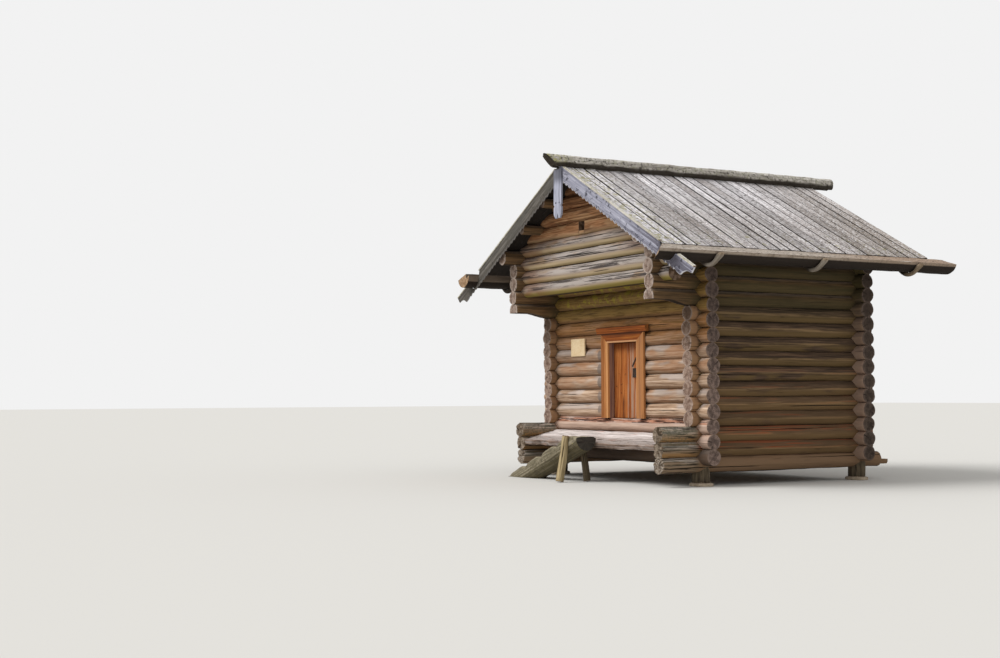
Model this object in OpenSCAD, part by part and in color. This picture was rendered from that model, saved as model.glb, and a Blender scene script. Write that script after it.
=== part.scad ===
// Raised granary of round logs with an overhanging log gable, on four corner stumps.
// X runs along the front wall, Y runs from the front to the rear, Z is up from the ground.

/* [Crib] */
// Distance between the axes of the two side walls
crib_w = 4290; // [3900:10:4700]
// Distance between the axes of the front and rear walls
crib_d = 3250; // [2900:10:3900]
// Diameter of a wall log
log_d = 260; // [240:2:280]
// Depth of the long groove in the underside of a log
groove = 20; // [12:1:28]
// Length of a side log's end beyond the axis of the wall it crosses
log_end = 280; // [220:5:320]
// Length of a cross log's end beyond the axis of the side wall
cross_end = 350; // [240:5:380]
// Height of the lowest front log's axis over the ground
first_z = 460; // [420:5:560]

/* [Courses] */
// Courses of the side walls that run forward to carry the porch
porch_rows = 3; // [3:1:4]
// First course of the side walls that runs forward to carry the gable
bracket_row = 11; // [11:1:12]
// Course of the side walls that carries the roof
plate_row = 15; // [15:1:16]
// First course of the overhanging front gable
gable_row = 12; // [12:1:13]
// Courses cut through by the doorway
door_rows = 5; // [5:1:6]

/* [Overhangs] */
// Distance of the front gable's axis ahead of the front wall's axis
gable_out = 720; // [600:10:800]
// Reach of the porch logs ahead of the front wall's axis
porch_out = 870; // [780:10:980]
// Reach of the lowest side logs behind the rear wall's axis
sill_tail = 620; // [450:10:750]
// Thickness of the hewn end of those logs
tail_t = 80; // [60:5:120]
// Height hewn off the underside of the lowest bracket logs
bracket_cut = 90; // [40:5:110]
// Length of the slant at the rear of that hewn part
bracket_slant = 320; // [200:10:400]

/* [Stumps] */
// Diameter of a corner stump
stump_d = 290; // [240:5:320]
// Thickness of the flat stone under a stump
stone_t = 55; // [40:1:80]
// Width of that stone
stone_w = 440; // [380:10:520]

/* [Roof] */
// Slope of the roof in degrees
roof_pitch = 28.6; // [26:0.2:31]
// Reach of the roof ahead of the front wall's axis
roof_front = 1265; // [1200:5:1400]
// Reach of the roof behind the rear wall's axis
roof_rear = 960; // [800:10:1100]
// Width of a roof board
board_w = 214; // [170:1:240]
// Gap between two roof boards
board_gap = 6; // [3:1:12]
// Thickness of a roof board
board_t = 27; // [20:1:32]
// Diameter of the purlins
purlin_d = 170; // [140:5:190]
// Diameter of the ridge log
ridge_d = 250; // [230:5:280]
// Height of the ridge log's axis over the roof's peak
ridge_lift = 60; // [40:5:80]
// Reach of the ridge log ahead of the front wall's axis
ridge_front = 1610; // [1500:10:1700]
// Reach of the ridge log behind the rear wall's axis
ridge_rear = 1430; // [1300:10:1500]
// Slanting cut of the ridge log's front end, from its top to its underside
ridge_cut = 250; // [100:10:300]

/* [Gutters and hooks] */
// Distance of the gutter's outer edge from the middle of the roof
gutter_out = 3320; // [3240:5:3400]
// Radius of the half log that the gutter is hewn from
gutter_r = 222; // [205:1:235]
// Slope of that half log's flat top in degrees
gutter_pitch = 18; // [15:0.5:21]
// Radius of the groove under the ends of the roof boards
groove_r = 40; // [32:1:46]
// Reach of the right gutter ahead of the front wall's axis
gutter_front_right = 1600; // [1560:10:1640]
// Reach of the left gutter ahead of the front wall's axis
gutter_front_left = 1505; // [1460:5:1560]
// Reach of the gutters behind the rear wall's axis
gutter_rear = 1370; // [1250:10:1450]
// Length of the left gutter's front end that has no groove
gutter_plug = 150; // [80:10:180]
// Width of a hooked timber
hook_w = 90; // [70:1:110]
// Thickness of a hooked timber along the slope
hook_t = 80; // [60:1:95]
// Thickness of its crook under the gutter
crook_t = 80; // [60:1:95]
// Hooked timbers on each slope
hooks = 3; // [2:1:4]
// Gap between the gable's logs and the first hooked timber
hook_gap = 10; // [5:1:60]
// Distance of the last hooked timber behind the rear wall's axis
hook_rear = 325; // [250:5:420]

/* [Bargeboards] */
// Width of a bargeboard, with its teeth
barge_w = 235; // [200:5:280]
// Thickness of a bargeboard
barge_t = 32; // [24:1:40]
// Reach of a bargeboard's tail from the middle of the roof
barge_out = 3740; // [3500:10:3900]
// Length of one tooth along the lower edge
tooth = 118; // [90:1:150]
// Depth of a tooth
tooth_d = 34; // [20:1:45]
// Width of the pendant board at the peak
pendant_w = 240; // [200:5:280]
// Height of the pendant board's forked lower end over the ground
pendant_z = 4420; // [4300:10:4600]

/* [Door] */
// Middle of the doorway, to the right of the middle of the front wall
door_x = 165; // [0:5:300]
// Clear width of the doorway
door_w = 870; // [760:5:950]
// Clear height of the doorway
door_h = 1300; // [1220:5:1320]
// Thickness of a door post beside the doorway
jamb_t = 90; // [75:1:110]
// Depth of the rebate that the leaf shuts into
rebate = 30; // [25:1:40]
// Distance of the leaf's face behind the front wall's hewn face
leaf_set = 100; // [90:1:110]
// Thickness of the leaf
leaf_t = 45; // [35:1:55]
// Clearance round the moving leaf
leaf_gap = 7; // [6:1:10]
// Diameter of a wooden pivot of the leaf
pivot_d = 32; // [24:1:36]
// Width of a casing board round the door
casing_w = 210; // [170:5:230]
// Thickness of a casing board
casing_t = 45; // [30:1:55]
// Height of the board under the cornice
casing_head = 155; // [130:5:200]
// Reach of the cornice beyond the casing boards
cornice_over = 105; // [60:5:160]
// Height of the cornice
cornice_h = 120; // [90:5:140]
// Thickness of the cornice
cornice_t = 75; // [60:1:100]

/* [Porch and stair] */
// Thickness of a porch plank
deck_t = 85; // [60:5:110]
// Fall of the porch towards the front in degrees
deck_fall = 14.5; // [10:0.5:18]
// Distance of the porch's front edge behind the ends of the porch logs
deck_back = 40; // [20:5:80]
// Diameter of the stair log
stair_d = 400; // [360:5:440]
// Slope of the stair log in degrees
stair_pitch = 20; // [18:0.5:22]
// Height of the stair's top step over the ground
stair_top = 765; // [740:5:800]
// Distance of the stair's upper end from the middle of the front wall
stair_x = 380; // [200:10:600]
// Length of the stair over the ground
stair_len = 2300; // [2100:10:2400]
// Length of the stair's top step
stair_first = 650; // [550:10:750]
// Rise of one step
stair_rise = 190; // [160:5:210]
// Diameter of a stair leg
leg_d = 130; // [100:5:150]
// Distance of the legs from the stair's upper end
leg_back = 300; // [200:10:400]

/* [Floors and plates] */
// Thickness of the floor and soffit boards
floor_t = 50; // [40:1:60]
// Width of a floor board
floor_w = 240; // [180:5:300]
// Width of the notice plate
plate_w = 450; // [400:5:500]
// Height of the notice plate
plate_h = 310; // [280:5:340]
// Thickness of the notice plate
plate_t = 22; // [12:1:30]
// Distance of the notice plate's middle to the left of the middle of the front wall
plate_off = 1265; // [1200:5:1320]
// Side of the vent hole in the gable
vent = 170; // [120:5:180]

/* [Hidden] */
$fn = 48;

fit = 0.3;                     // clearance between pieces that bear on each other
eps = 1;                       // overrun of a cutting shape
log_r = log_d / 2;
course = log_d - groove;
valley = sqrt(log_r * log_r - course * course / 4);
half_w = crib_w / 2;
front_reach = max(ridge_front, gutter_front_right, gutter_front_left);
rear_reach = crib_d + max(ridge_rear, gutter_rear);
front_y = (front_reach - rear_reach) / 2;
rear_y = front_y + crib_d;
gable_y = front_y - gable_out;
function front_z(i) = first_z + i * course;
function side_z(j) = first_z + (j - 0.5) * course;

// The underside of the roof boards lies on the plate logs
purlin_r = purlin_d / 2;
roof_y0 = front_y - roof_front;
roof_y1 = rear_y + roof_rear;
plate_top = side_z(plate_row) + (log_r + fit) / cos(roof_pitch);
function under_z(x) = plate_top + (half_w - abs(x)) * tan(roof_pitch);
roof_t = 2 * board_t + fit;
function over_z(x) = under_z(x) + roof_t / cos(roof_pitch);
peak_z = over_z(0);
gable_rows = floor((under_z(0) - log_r - front_z(gable_row)) / course) + 1;
top_gable_row = gable_row + gable_rows - 1;
inner_purlin = half_w / 3;
outer_purlin = 2 * half_w / 3;

// The inner edge of the gutter's flat top lies level with the tops of the boards
gutter_x = gutter_out - gutter_r * cos(gutter_pitch);
gutter_in = gutter_out - 2 * gutter_r * cos(gutter_pitch);
gutter_z = over_z(gutter_in) - gutter_r * sin(gutter_pitch);
board_end = gutter_in + 32;
groove_x = gutter_in + groove_r + 20;

// The door
sill_row = porch_rows - 1;
sill_z = front_z(sill_row) + log_r - 25;
head_z = sill_z + door_h;
lintel_t = 60;
door_l = door_x - door_w / 2;
door_r = door_x + door_w / 2;
wall_face = front_y - log_r;
leaf_y = wall_face + leaf_set;
pivot_x = door_l - rebate + leaf_gap + leaf_t / 2;
pivot_y = leaf_y + leaf_t / 2;
pivot_len = 34;
casing_y = wall_face - fit;
casing_top = head_z + casing_head;

// A log along X or along Y
module log_x(x0, x1, y, z, d) {
    translate([x0, y, z]) rotate([0, 90, 0]) cylinder(d = d, h = x1 - x0);
}
module log_y(y0, y1, x, z, d) {
    translate([x, y0, z]) rotate([-90, 0, 0]) cylinder(d = d, h = y1 - y0);
}

// Reach of a course of a side wall to the front and to the rear
function row_front(j) = j < porch_rows ? front_y - porch_out
    : j < bracket_row ? front_y - log_end
    : j < plate_row ? gable_y - log_end
    : roof_y0 + 40;
function row_rear(j) = j == 0 ? rear_y + sill_tail
    : j < plate_row ? rear_y + log_end
    : roof_y1 - 40;

// A log of a side wall or of a cross wall, or with a clearance the room that it needs
module side_log(x, j, clear = 0) {
    log_y(row_front(j) - clear, row_rear(j) + clear, x, side_z(j), log_d + 2 * clear);
}
module cross_log(y, i, clear = 0) {
    reach = half_w + cross_end + clear;
    log_x(-reach, reach, y, front_z(i), log_d + 2 * clear);
}

// One log of a side wall: grooved over the log below, notched over the logs it crosses
module side_course(s, j) {
    difference() {
        side_log(s * half_w, j);
        if (j > 0) {
            side_log(s * half_w, j - 1, fit);
            cross_log(front_y, j - 1, fit);
            cross_log(rear_y, j - 1, fit);
        }
        if (j > gable_row) cross_log(gable_y, j - 1, fit);
        if (j == plate_row) side_hooks(s, fit);
        if (j == 0) sill_tail_cut(s);
        if (j == bracket_row) bracket_hewing(s);
    }
}
// The lowest bracket's underside is hewn away from the end, slanting down to the corner
module bracket_hewing(s) {
    low = side_z(bracket_row) - log_r;
    corner = front_y - log_end;
    tip = row_front(bracket_row) - eps;
    translate([s * half_w - log_r - eps, 0, 0]) rotate([90, 0, 90]) linear_extrude(log_d + 2 * eps)
        polygon([[corner, low - eps], [corner - bracket_slant, low + bracket_cut],
            [tip, low + bracket_cut], [tip, low - eps]]);
}
// The rear end of the lowest log is hewn to a thin slab
module sill_tail_cut(s) {
    hewn = (sill_tail - log_end) / 2;
    for (z = [side_z(0), side_z(0) - tail_t - log_d])
        translate([s * half_w - log_r - eps, rear_y + sill_tail - hewn, z])
            cube([log_d + 2 * eps, hewn + eps, log_d]);
}

// One log of a cross wall, in the same way
module cross_course(y, i, first) {
    difference() {
        cross_log(y, i);
        if (i > first) cross_log(y, i - 1, fit);
        if (i <= plate_row) for (s = [-1, 1]) side_log(s * half_w, i, fit);
    }
}

// A gable log also has its ends cut to the slope and is notched round the purlins
module gable_course(y, i, first) {
    difference() {
        intersection() {
            cross_course(y, i, first);
            under_roof(y, i < plate_row ? half_w + cross_end + eps : half_w);
        }
        purlin_notches();
    }
}
module under_roof(y, side) {
    low = front_z(gable_row) - log_d;
    translate([0, y + log_r + eps, 0]) rotate([90, 0, 0]) linear_extrude(log_d + 2 * eps)
        polygon([[-side, low], [side, low], [side, under_z(side) - fit],
            [0, under_z(0) - fit], [-side, under_z(side) - fit]]);
}
// Each purlin lies in a notch that is open towards the roof, a little narrower than the purlin
notch_w = purlin_d * 0.94;
module purlin_notches() {
    purlin(0, fit);
    for (x = [inner_purlin, outer_purlin], s = [-1, 1]) {
        purlin(s * x, fit);
        translate([s * x, roof_y0, purlin_z(x)]) rotate([0, s * roof_pitch, 0])
            translate([-notch_w / 2, 0, 0]) cube([notch_w, roof_y1 - roof_y0, purlin_d]);
    }
}

module stone(sx, y) {
    r = stone_w / 2;
    color("dimgray") translate([sx * half_w, y, 0]) linear_extrude(stone_t)
        polygon([for (k = [0 : 6]) let (a = 360 * k / 7 + 12, q = r * (1 - 0.07 * (k % 3)))
            [q * cos(a), q * sin(a)]]);
}
module stump(sx, y) {
    color("#5b4f45") difference() {
        translate([sx * half_w, y, stone_t]) cylinder(d = stump_d, h = side_z(0) - stone_t);
        side_log(sx * half_w, 0, fit);
        cross_log(y, 0, fit);
    }
}

module side_rows(s, first, last) {
    color("#6e5646") for (j = [first : last]) side_course(s, j);
}

module door_hole() {
    translate([door_l - jamb_t - fit, front_y - log_d, sill_z])
        cube([door_w + 2 * (jamb_t + fit), 2 * log_d, door_h + lintel_t + fit]);
}
module pivot_pins(clear) {
    for (z = [sill_z + leaf_gap - pivot_len, head_z - leaf_gap])
        translate([pivot_x, pivot_y, z - (z < head_z - leaf_gap ? clear : 0)])
            cylinder(d = pivot_d + 2 * clear, h = pivot_len + clear);
}
module front_wall_under_door() {
    color("#9a8878") difference() {
        for (i = [0 : sill_row]) cross_course(front_y, i, 0);
        door_hole();
        pivot_pins(fit);
    }
}
module front_wall_side(s) {
    x0 = s < 0 ? -crib_w : door_x;
    x1 = s < 0 ? door_x : crib_w;
    color("#9a8878") intersection() {
        difference() {
            for (i = [sill_row + 1 : sill_row + door_rows]) cross_course(front_y, i, 0);
            door_hole();
        }
        translate([x0, front_y - log_d, 0]) cube([x1 - x0, 2 * log_d, peak_z]);
    }
}
module front_wall_over_door() {
    color("#8f7d64") difference() {
        for (i = [sill_row + door_rows + 1 : gable_row]) cross_course(front_y, i, 0);
        door_hole();
    }
}
module rear_wall() {
    color("#7d6a5a") for (i = [0 : gable_row]) cross_course(rear_y, i, 0);
}
module rear_gable() {
    color("#7d6a5a") for (i = [gable_row + 1 : top_gable_row]) gable_course(rear_y, i, 0);
}
module front_gable() {
    vent_z = front_z(gable_row + 4) + course / 2 - vent;
    color("#8a5f41") difference() {
        for (i = [gable_row : top_gable_row]) gable_course(gable_y, i, gable_row);
        translate([-vent, gable_y - log_d, vent_z]) cube([vent, 2 * log_d, vent]);
    }
}

// Boards from wall to wall, their ends held in the valley between two side logs
module valley_boards(j, y0, y1) {
    reach = half_w - sqrt(log_r * log_r - pow((course - floor_t) / 2, 2)) - fit;
    n = max(1, round((y1 - y0) / floor_w));
    pitch = (y1 - y0) / n;
    for (k = [0 : n - 1])
        translate([-reach, y0 + k * pitch + fit, side_z(j) + (course - floor_t) / 2])
            cube([2 * reach, pitch - 3, floor_t]);
}
module floor_boards() {
    color("#a08c74") valley_boards(sill_row, front_y + log_r, rear_y - log_r);
}
module soffit_boards() {
    color("#7a624c") valley_boards(gable_row, gable_y + log_r, front_y - log_r);
}
planks = 3;
deck_lift = 10;
deck_y = wall_face - 5;
deck_edge_y = front_y - porch_out + deck_back - deck_lift * sin(deck_fall);
module porch_deck() {
    depth = (deck_y - front_y + porch_out - deck_back) / cos(deck_fall);
    reach = half_w - valley - fit;
    color("#b3a9a6") difference() {
        translate([0, deck_y, side_z(sill_row)]) rotate([deck_fall, 0, 0])
            for (k = [0 : planks - 1])
                translate([-reach, -(k + 1) * depth / planks, deck_lift - deck_t])
                    cube([2 * reach, depth / planks - 3, deck_t]);
        for (s = [-1, 1], j = [sill_row - 1, sill_row]) side_log(s * half_w, j, fit);
        cross_log(front_y, sill_row - 1, fit);
    }
}

// The stair is one log with steps notched into its upper side
stair_r = stair_d / 2;
stair_y = deck_edge_y - fit - stair_r;
stair_axis_z = stair_top - 35;
stair_foot_x = stair_x - stair_len;
tread = stair_rise / tan(stair_pitch);
lowest = 100;
steps = min(floor((stair_top - lowest) / stair_rise),
    1 + floor((stair_len - stair_first - lowest) / tread));
front_leg_y = stair_y - stair_r;
rear_leg_y = stair_y + stair_r * 0.5;
leg_x = stair_x - leg_back;
leg_splay = 10;
module stair_core(d) {
    run = stair_len / cos(stair_pitch) + stair_d;
    translate([stair_x, stair_y, stair_axis_z]) rotate([0, -90 - stair_pitch, 0])
        translate([0, 0, -stair_d / 2]) cylinder(d = d, h = run);
}
// Outline of the stair seen from the front: the ground, the upper end and the notched treads
function step_x(k) = stair_x - stair_first - (k - 1) * tread;
function step_z(k) = stair_top - k * stair_rise;
module stair_profile() {
    polygon(concat(
        [[stair_foot_x, 0], [stair_x, 0], [stair_x, stair_top]],
        [for (k = [1 : steps], upper = [1, 0]) [step_x(k), step_z(k - upper)]],
        [[stair_foot_x, step_z(steps)]]));
}
module stair_log() {
    color("#8a8068") difference() {
        intersection() {
            stair_core(stair_d);
            translate([0, stair_y + stair_d, 0]) rotate([90, 0, 0])
                linear_extrude(2 * stair_d) stair_profile();
        }
        leg_front(fit);
        leg_rear(fit);
    }
}
module leg_front(clear) {
    intersection() {
        translate([leg_x, front_leg_y, stair_top + 20]) rotate([180 - leg_splay, 0, 0])
            translate([0, 0, -leg_d]) cylinder(d = leg_d + 2 * clear, h = stair_top + 3 * leg_d);
        translate([leg_x - leg_d, front_leg_y - stair_d, 0])
            cube([2 * leg_d, 2 * stair_d, stair_top + 20 + clear]);
    }
}
module leg_rear(clear) {
    intersection() {
        translate([leg_x, rear_leg_y, stair_axis_z - stair_r / 2]) rotate([180 + leg_splay, 0, 0])
            translate([0, 0, -clear]) cylinder(d = leg_d + 2 * clear, h = stair_top + leg_d);
        translate([leg_x - leg_d, rear_leg_y - stair_d, 0])
            cube([2 * leg_d, 2 * stair_d, stair_top]);
    }
}
module stair_leg_front() { color("#9a8a68") leg_front(0); }
module stair_leg_rear() { color("#5a5040") leg_rear(0); }

// Door posts stand on the sill log and take the leaf in a rebate
module door_post(s) {
    x = s < 0 ? door_l - jamb_t : door_r;
    cut_x = s < 0 ? door_l - rebate : door_r - eps;
    color("#8f6a4a") difference() {
        translate([x, wall_face, sill_z]) cube([jamb_t, log_d, door_h]);
        translate([cut_x, leaf_y - leaf_gap, sill_z - eps])
            cube([rebate + eps, log_d, door_h + 2 * eps]);
    }
}
module door_lintel() {
    color("#8f6a4a") difference() {
        translate([door_l - jamb_t, wall_face, head_z]) cube([door_w + 2 * jamb_t, log_d, lintel_t]);
        pivot_pins(fit);
    }
}
module casing_side(s) {
    inner = s < 0 ? door_l : door_r;
    outer = inner + s * casing_w;
    low = sill_z + 5;
    color("#b06a35") translate([0, casing_y, 0]) rotate([90, 0, 0]) linear_extrude(casing_t)
        polygon([[inner, low], [outer, low], [outer, casing_top], [inner, head_z]]);
}
module casing_head_board() {
    outer = door_w / 2 + casing_w - fit;
    inner = door_w / 2 - fit;
    color("#a85f2e") translate([door_x, casing_y, 0]) rotate([90, 0, 0]) linear_extrude(casing_t)
        polygon([[-inner, head_z], [inner, head_z],
            [outer, casing_top], [-outer, casing_top]]);
}
module door_cornice() {
    cornice_w = door_w + 2 * (casing_w + cornice_over);
    color("#a2582a") translate([door_x - cornice_w / 2, casing_y, casing_top]) rotate([90, 0, 90])
        linear_extrude(cornice_w)
            polygon([[0, 0], [-cornice_t + 15, 0], [-cornice_t, cornice_h / 3],
                [-cornice_t, cornice_h - 12], [0, cornice_h]]);
}

// The leaf turns on wooden pivots at its rounded left edge
leaf_end = door_r + rebate - leaf_gap;
module door_leaf() {
    leaf_h = door_h - 2 * leaf_gap;
    color("#a85a22") translate([0, 0, sill_z + leaf_gap]) difference() {
        union() {
            translate([pivot_x, pivot_y, 0]) cylinder(d = leaf_t, h = leaf_h);
            translate([pivot_x, leaf_y, 0]) cube([leaf_end - pivot_x, leaf_t, leaf_h]);
        }
        for (k = [1 : 3])
            translate([pivot_x + k * (leaf_end - pivot_x) / 4 - 1.5, leaf_y - eps, -eps])
                cube([3, 5 + eps, leaf_h + 2 * eps]);
    }
}
// The ledges start far enough from the pivots to swing past the post
ledge_x = pivot_x + wall_face + log_d - pivot_y + 2 * leaf_gap;
ledge_t = 30;
ledge_h = 110;
module door_ledges() {
    color("#8a4c20") for (z = [sill_z + door_h * 0.2, sill_z + door_h * 0.75])
        translate([ledge_x, leaf_y + leaf_t, z])
            cube([leaf_end - rebate - ledge_t - ledge_x, ledge_t, ledge_h]);
}
module door_pivots() { color("#8a4c20") pivot_pins(0); }
module lock_plate() {
    plate_x = door_r - 110;
    plate_z = sill_z + door_h * 0.42;
    color("#2c2622") translate([plate_x, leaf_y, plate_z]) rotate([90, 0, 0]) linear_extrude(4)
        polygon([[0, 0], [70, 10], [75, 190], [55, 260], [25, 200], [-70, 150], [-72, 125], [0, 120]]);
}
module notice_plate() {
    color("#d8c48c") translate([-plate_off - plate_w / 2, wall_face - fit - plate_t, front_z(7)])
        cube([plate_w, plate_t, plate_h]);
}

// Purlins just touch the underside of the boards
function purlin_z(x) = under_z(x) - (purlin_r + fit) / cos(roof_pitch);
module purlin(x, clear) {
    log_y(roof_y0 + 40, roof_y1 - 40, x, purlin_z(x), purlin_d + 2 * clear);
}
module ridge_purlin() { color("#6e5646") purlin(0, 0); }
module side_purlins(s) {
    color("#6e5646") difference() {
        for (x = [inner_purlin, outer_purlin]) purlin(s * x, 0);
        side_hooks(s, fit);
    }
}

// Two layers of boards lie down the slope, the lower one under the joints of the upper one
module roof_boards(s) {
    span = roof_y1 - roof_y0;
    n = floor(span / (board_w + board_gap));
    pitch = span / n;
    color("#b8b0b0") intersection() {
        for (layer = [0, 1], k = [0 : n - layer])
            board_slab(s, layer, roof_y0 + (k - 0.5 + 0.5 * layer) * pitch + board_gap / 2,
                pitch - board_gap);
        translate([s < 0 ? -crib_w : fit, roof_y0, 0]) cube([crib_w - fit, span, 2 * peak_z]);
    }
}
module board_slab(s, layer, y, w) {
    z0 = layer * (board_t + fit) / cos(roof_pitch);
    z1 = z0 + board_t / cos(roof_pitch);
    outer = board_end - (1 - layer) * 20;
    translate([0, y + w, 0]) rotate([90, 0, 0]) linear_extrude(w)
        polygon([[0, under_z(0) + z0], [s * outer, under_z(outer) + z0],
            [s * outer, under_z(outer) + z1], [0, under_z(0) + z1]]);
}

// A gutter is a half log, its flat top sloping outwards, with a groove under the ends of the boards
prow_turn = 32;
prow_lean = 28;
module gutter_body(span) {
    rotate([90, 0, 0]) linear_extrude(span) difference() {
        circle(r = gutter_r);
        rotate([0, 0, -gutter_pitch]) translate([-gutter_r - eps, 0])
            square([2 * (gutter_r + eps), gutter_r + eps]);
    }
}
module gutter_groove(span) {
    inner = gutter_in - 2 * groove_r;
    rotate([90, 0, 0]) linear_extrude(span) {
        translate([groove_x, gutter_z]) circle(r = groove_r);
        polygon([[groove_x - groove_r, gutter_z], [groove_x + groove_r, gutter_z],
            [groove_x + groove_r, over_z(inner)], [groove_x - groove_r, over_z(inner)]]);
        polygon([[inner, under_z(inner) - fit], [groove_x, under_z(groove_x) - fit],
            [groove_x, over_z(inner)], [inner, over_z(inner)]]);
    }
}
// The right gutter's front end is cut like a prow, longest at the bottom and at the outer edge
module gutter_prow() {
    side = 6 * gutter_r;
    translate([board_end, roof_y0 - 10, over_z(board_end)])
        rotate([0, 90 - prow_lean, -90 - prow_turn])
            translate([-side / 2, -side / 2, 0]) cube(side);
}
module gutter(s, reach, plug) {
    span = reach + crib_d + gutter_rear;
    rear = rear_y + gutter_rear;
    color("#6a645c") mirror([s < 0 ? 1 : 0, 0, 0]) difference() {
        translate([gutter_x, rear, gutter_z]) gutter_body(span);
        translate([0, rear + eps, 0]) gutter_groove(plug > 0 ? span - plug + eps : span + 2 * eps);
        if (plug > 0) translate([0, rear + eps, 0]) gutter_rebate(span + 2 * eps);
        if (s > 0) gutter_prow();
    }
}
// Room for the boards' ends, also where there is no groove
module gutter_rebate(span) {
    inner = gutter_in - 2 * groove_r;
    rotate([90, 0, 0]) linear_extrude(span)
        polygon([[inner, under_z(inner) - fit], [board_end + eps, under_z(board_end) - fit],
            [board_end + eps, over_z(inner)], [inner, over_z(inner)]]);
}
function hook_y(k) = let (first = gable_y + log_r + hook_gap + hook_w / 2)
    first + k * (rear_y + hook_rear - first) / (hooks - 1);
module hook_profile(clear) {
    crook_r = gutter_r + crook_t;
    tip_z = gutter_z - gutter_r * sin(gutter_pitch);
    top_x = outer_purlin - 130;
    inner_x = gutter_x - gutter_r - fit;
    depth = (hook_t + clear) / cos(roof_pitch);
    difference() {
        union() {
            polygon([[top_x, under_z(top_x)], [inner_x, under_z(inner_x)],
                [inner_x, under_z(inner_x) - depth], [top_x, under_z(top_x) - depth]]);
            translate([gutter_x - 8, gutter_z - 14]) circle(r = crook_r);
        }
        translate([gutter_x, gutter_z]) circle(r = gutter_r + fit);
        polygon([[top_x - eps, under_z(top_x - eps) - fit], [inner_x, under_z(inner_x) - fit],
            [inner_x, tip_z], [gutter_out + crook_r, tip_z], [gutter_out + crook_r, peak_z],
            [top_x - eps, peak_z]]);
    }
}
module side_hooks(s, clear) {
    for (k = [0 : hooks - 1])
        translate([0, hook_y(k) + hook_w / 2 + clear, 0]) rotate([90, 0, 0])
            mirror([s < 0 ? 1 : 0, 0, 0]) linear_extrude(hook_w + 2 * clear) hook_profile(clear);
}

// The ridge log is hollowed to sit over both slopes and both bargeboards, its front end cut to a beak
barge_lip = 12;
module ridge_log() {
    y0 = front_y - ridge_front;
    y1 = rear_y + ridge_rear;
    z = peak_z + ridge_lift;
    r = ridge_d / 2;
    color("#77705a") difference() {
        log_y(y0, y1, 0, z, ridge_d);
        translate([0, y1 + eps, 0]) rotate([90, 0, 0]) linear_extrude(y1 - y0 + 2 * eps)
            polygon([[-ridge_d, over_z(ridge_d) + fit], [0, over_z(0) + fit],
                [ridge_d, over_z(ridge_d) + fit], [ridge_d, 0], [-ridge_d, 0]]);
        translate([0, roof_y0, barge_lip]) rotate([90, 0, 0]) linear_extrude(roof_y0 - y0 + eps)
            polygon([[-ridge_d, over_z(ridge_d) + fit], [0, over_z(0) + fit],
                [ridge_d, over_z(ridge_d) + fit], [ridge_d, 0], [-ridge_d, 0]]);
        translate([-ridge_d, y0 - eps, z + r]) rotate([90, 0, 90]) linear_extrude(2 * ridge_d)
            polygon([[0, eps], [ridge_cut + eps, -ridge_d - eps], [-eps, -ridge_d - eps], [-eps, eps]]);
    }
}

// Bargeboards with a sawtooth lower edge and a scalloped tail, notched round the gutter
tail_heel = 65;
tail_drop = 80;
scallop_d = 40;
scallop_flat = 8;
module bargeboard(s) {
    drop = barge_w / cos(roof_pitch);
    tooth_x = tooth * cos(roof_pitch);
    first_x = pendant_w / 2;
    tail_low = over_z(barge_out) + barge_lip - tail_drop;
    tail_in = barge_out - (drop - tail_drop) / tan(roof_pitch);
    heel_x = barge_out - tail_heel;
    teeth = floor((tail_in - first_x) / tooth_x);
    scallop_half = (heel_x - tail_in) / 2 - scallop_flat;
    scallop_r = (pow(scallop_half, 2) + pow(scallop_d, 2)) / (2 * scallop_d);
    function low(x) = over_z(x) + barge_lip - drop;
    color("#8f8fa0") translate([0, roof_y0 - fit, 0]) rotate([90, 0, 0])
        mirror([s < 0 ? 1 : 0, 0, 0]) linear_extrude(barge_t) difference() {
            polygon(concat(
                [[fit, over_z(0) + barge_lip], [barge_out, over_z(barge_out) + barge_lip],
                    [heel_x, tail_low], [tail_in, tail_low]],
                [for (k = [teeth : -1 : 1], p = [0, 1])
                    p == 0 ? [first_x + k * tooth_x, low(first_x + k * tooth_x)]
                    : [first_x + (k - 1) * tooth_x + 12, low(first_x + (k - 1) * tooth_x) + tooth_d]],
                [[fit, low(0)]]));
            translate([(heel_x + tail_in) / 2, tail_low + scallop_d - scallop_r])
                circle(r = scallop_r);
            translate([gutter_x, gutter_z]) circle(r = gutter_r + fit);
        }
}
module pendant_board() {
    hole = 34;
    waist = pendant_w * 0.4;
    top = over_z(pendant_w / 2) - 10;
    half = pendant_w / 2;
    color("#9a98a2") translate([0, roof_y0 - 2 * fit - barge_t, 0]) rotate([90, 0, 0])
        linear_extrude(barge_t) difference() {
            polygon([[-half, top], [half, top], [half, pendant_z + 230], [waist, pendant_z + 210],
                [half, pendant_z + 180], [half, pendant_z + 70], [half * 0.6, pendant_z],
                [half * 0.25, pendant_z], [0, pendant_z + 90], [-half * 0.25, pendant_z],
                [-half * 0.6, pendant_z], [-half, pendant_z + 70], [-half, pendant_z + 180],
                [-waist, pendant_z + 210], [-half, pendant_z + 230]]);
            for (s = [-1, 1]) translate([s * half * 0.45, pendant_z + 260]) circle(d = hole);
        }
}

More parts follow.
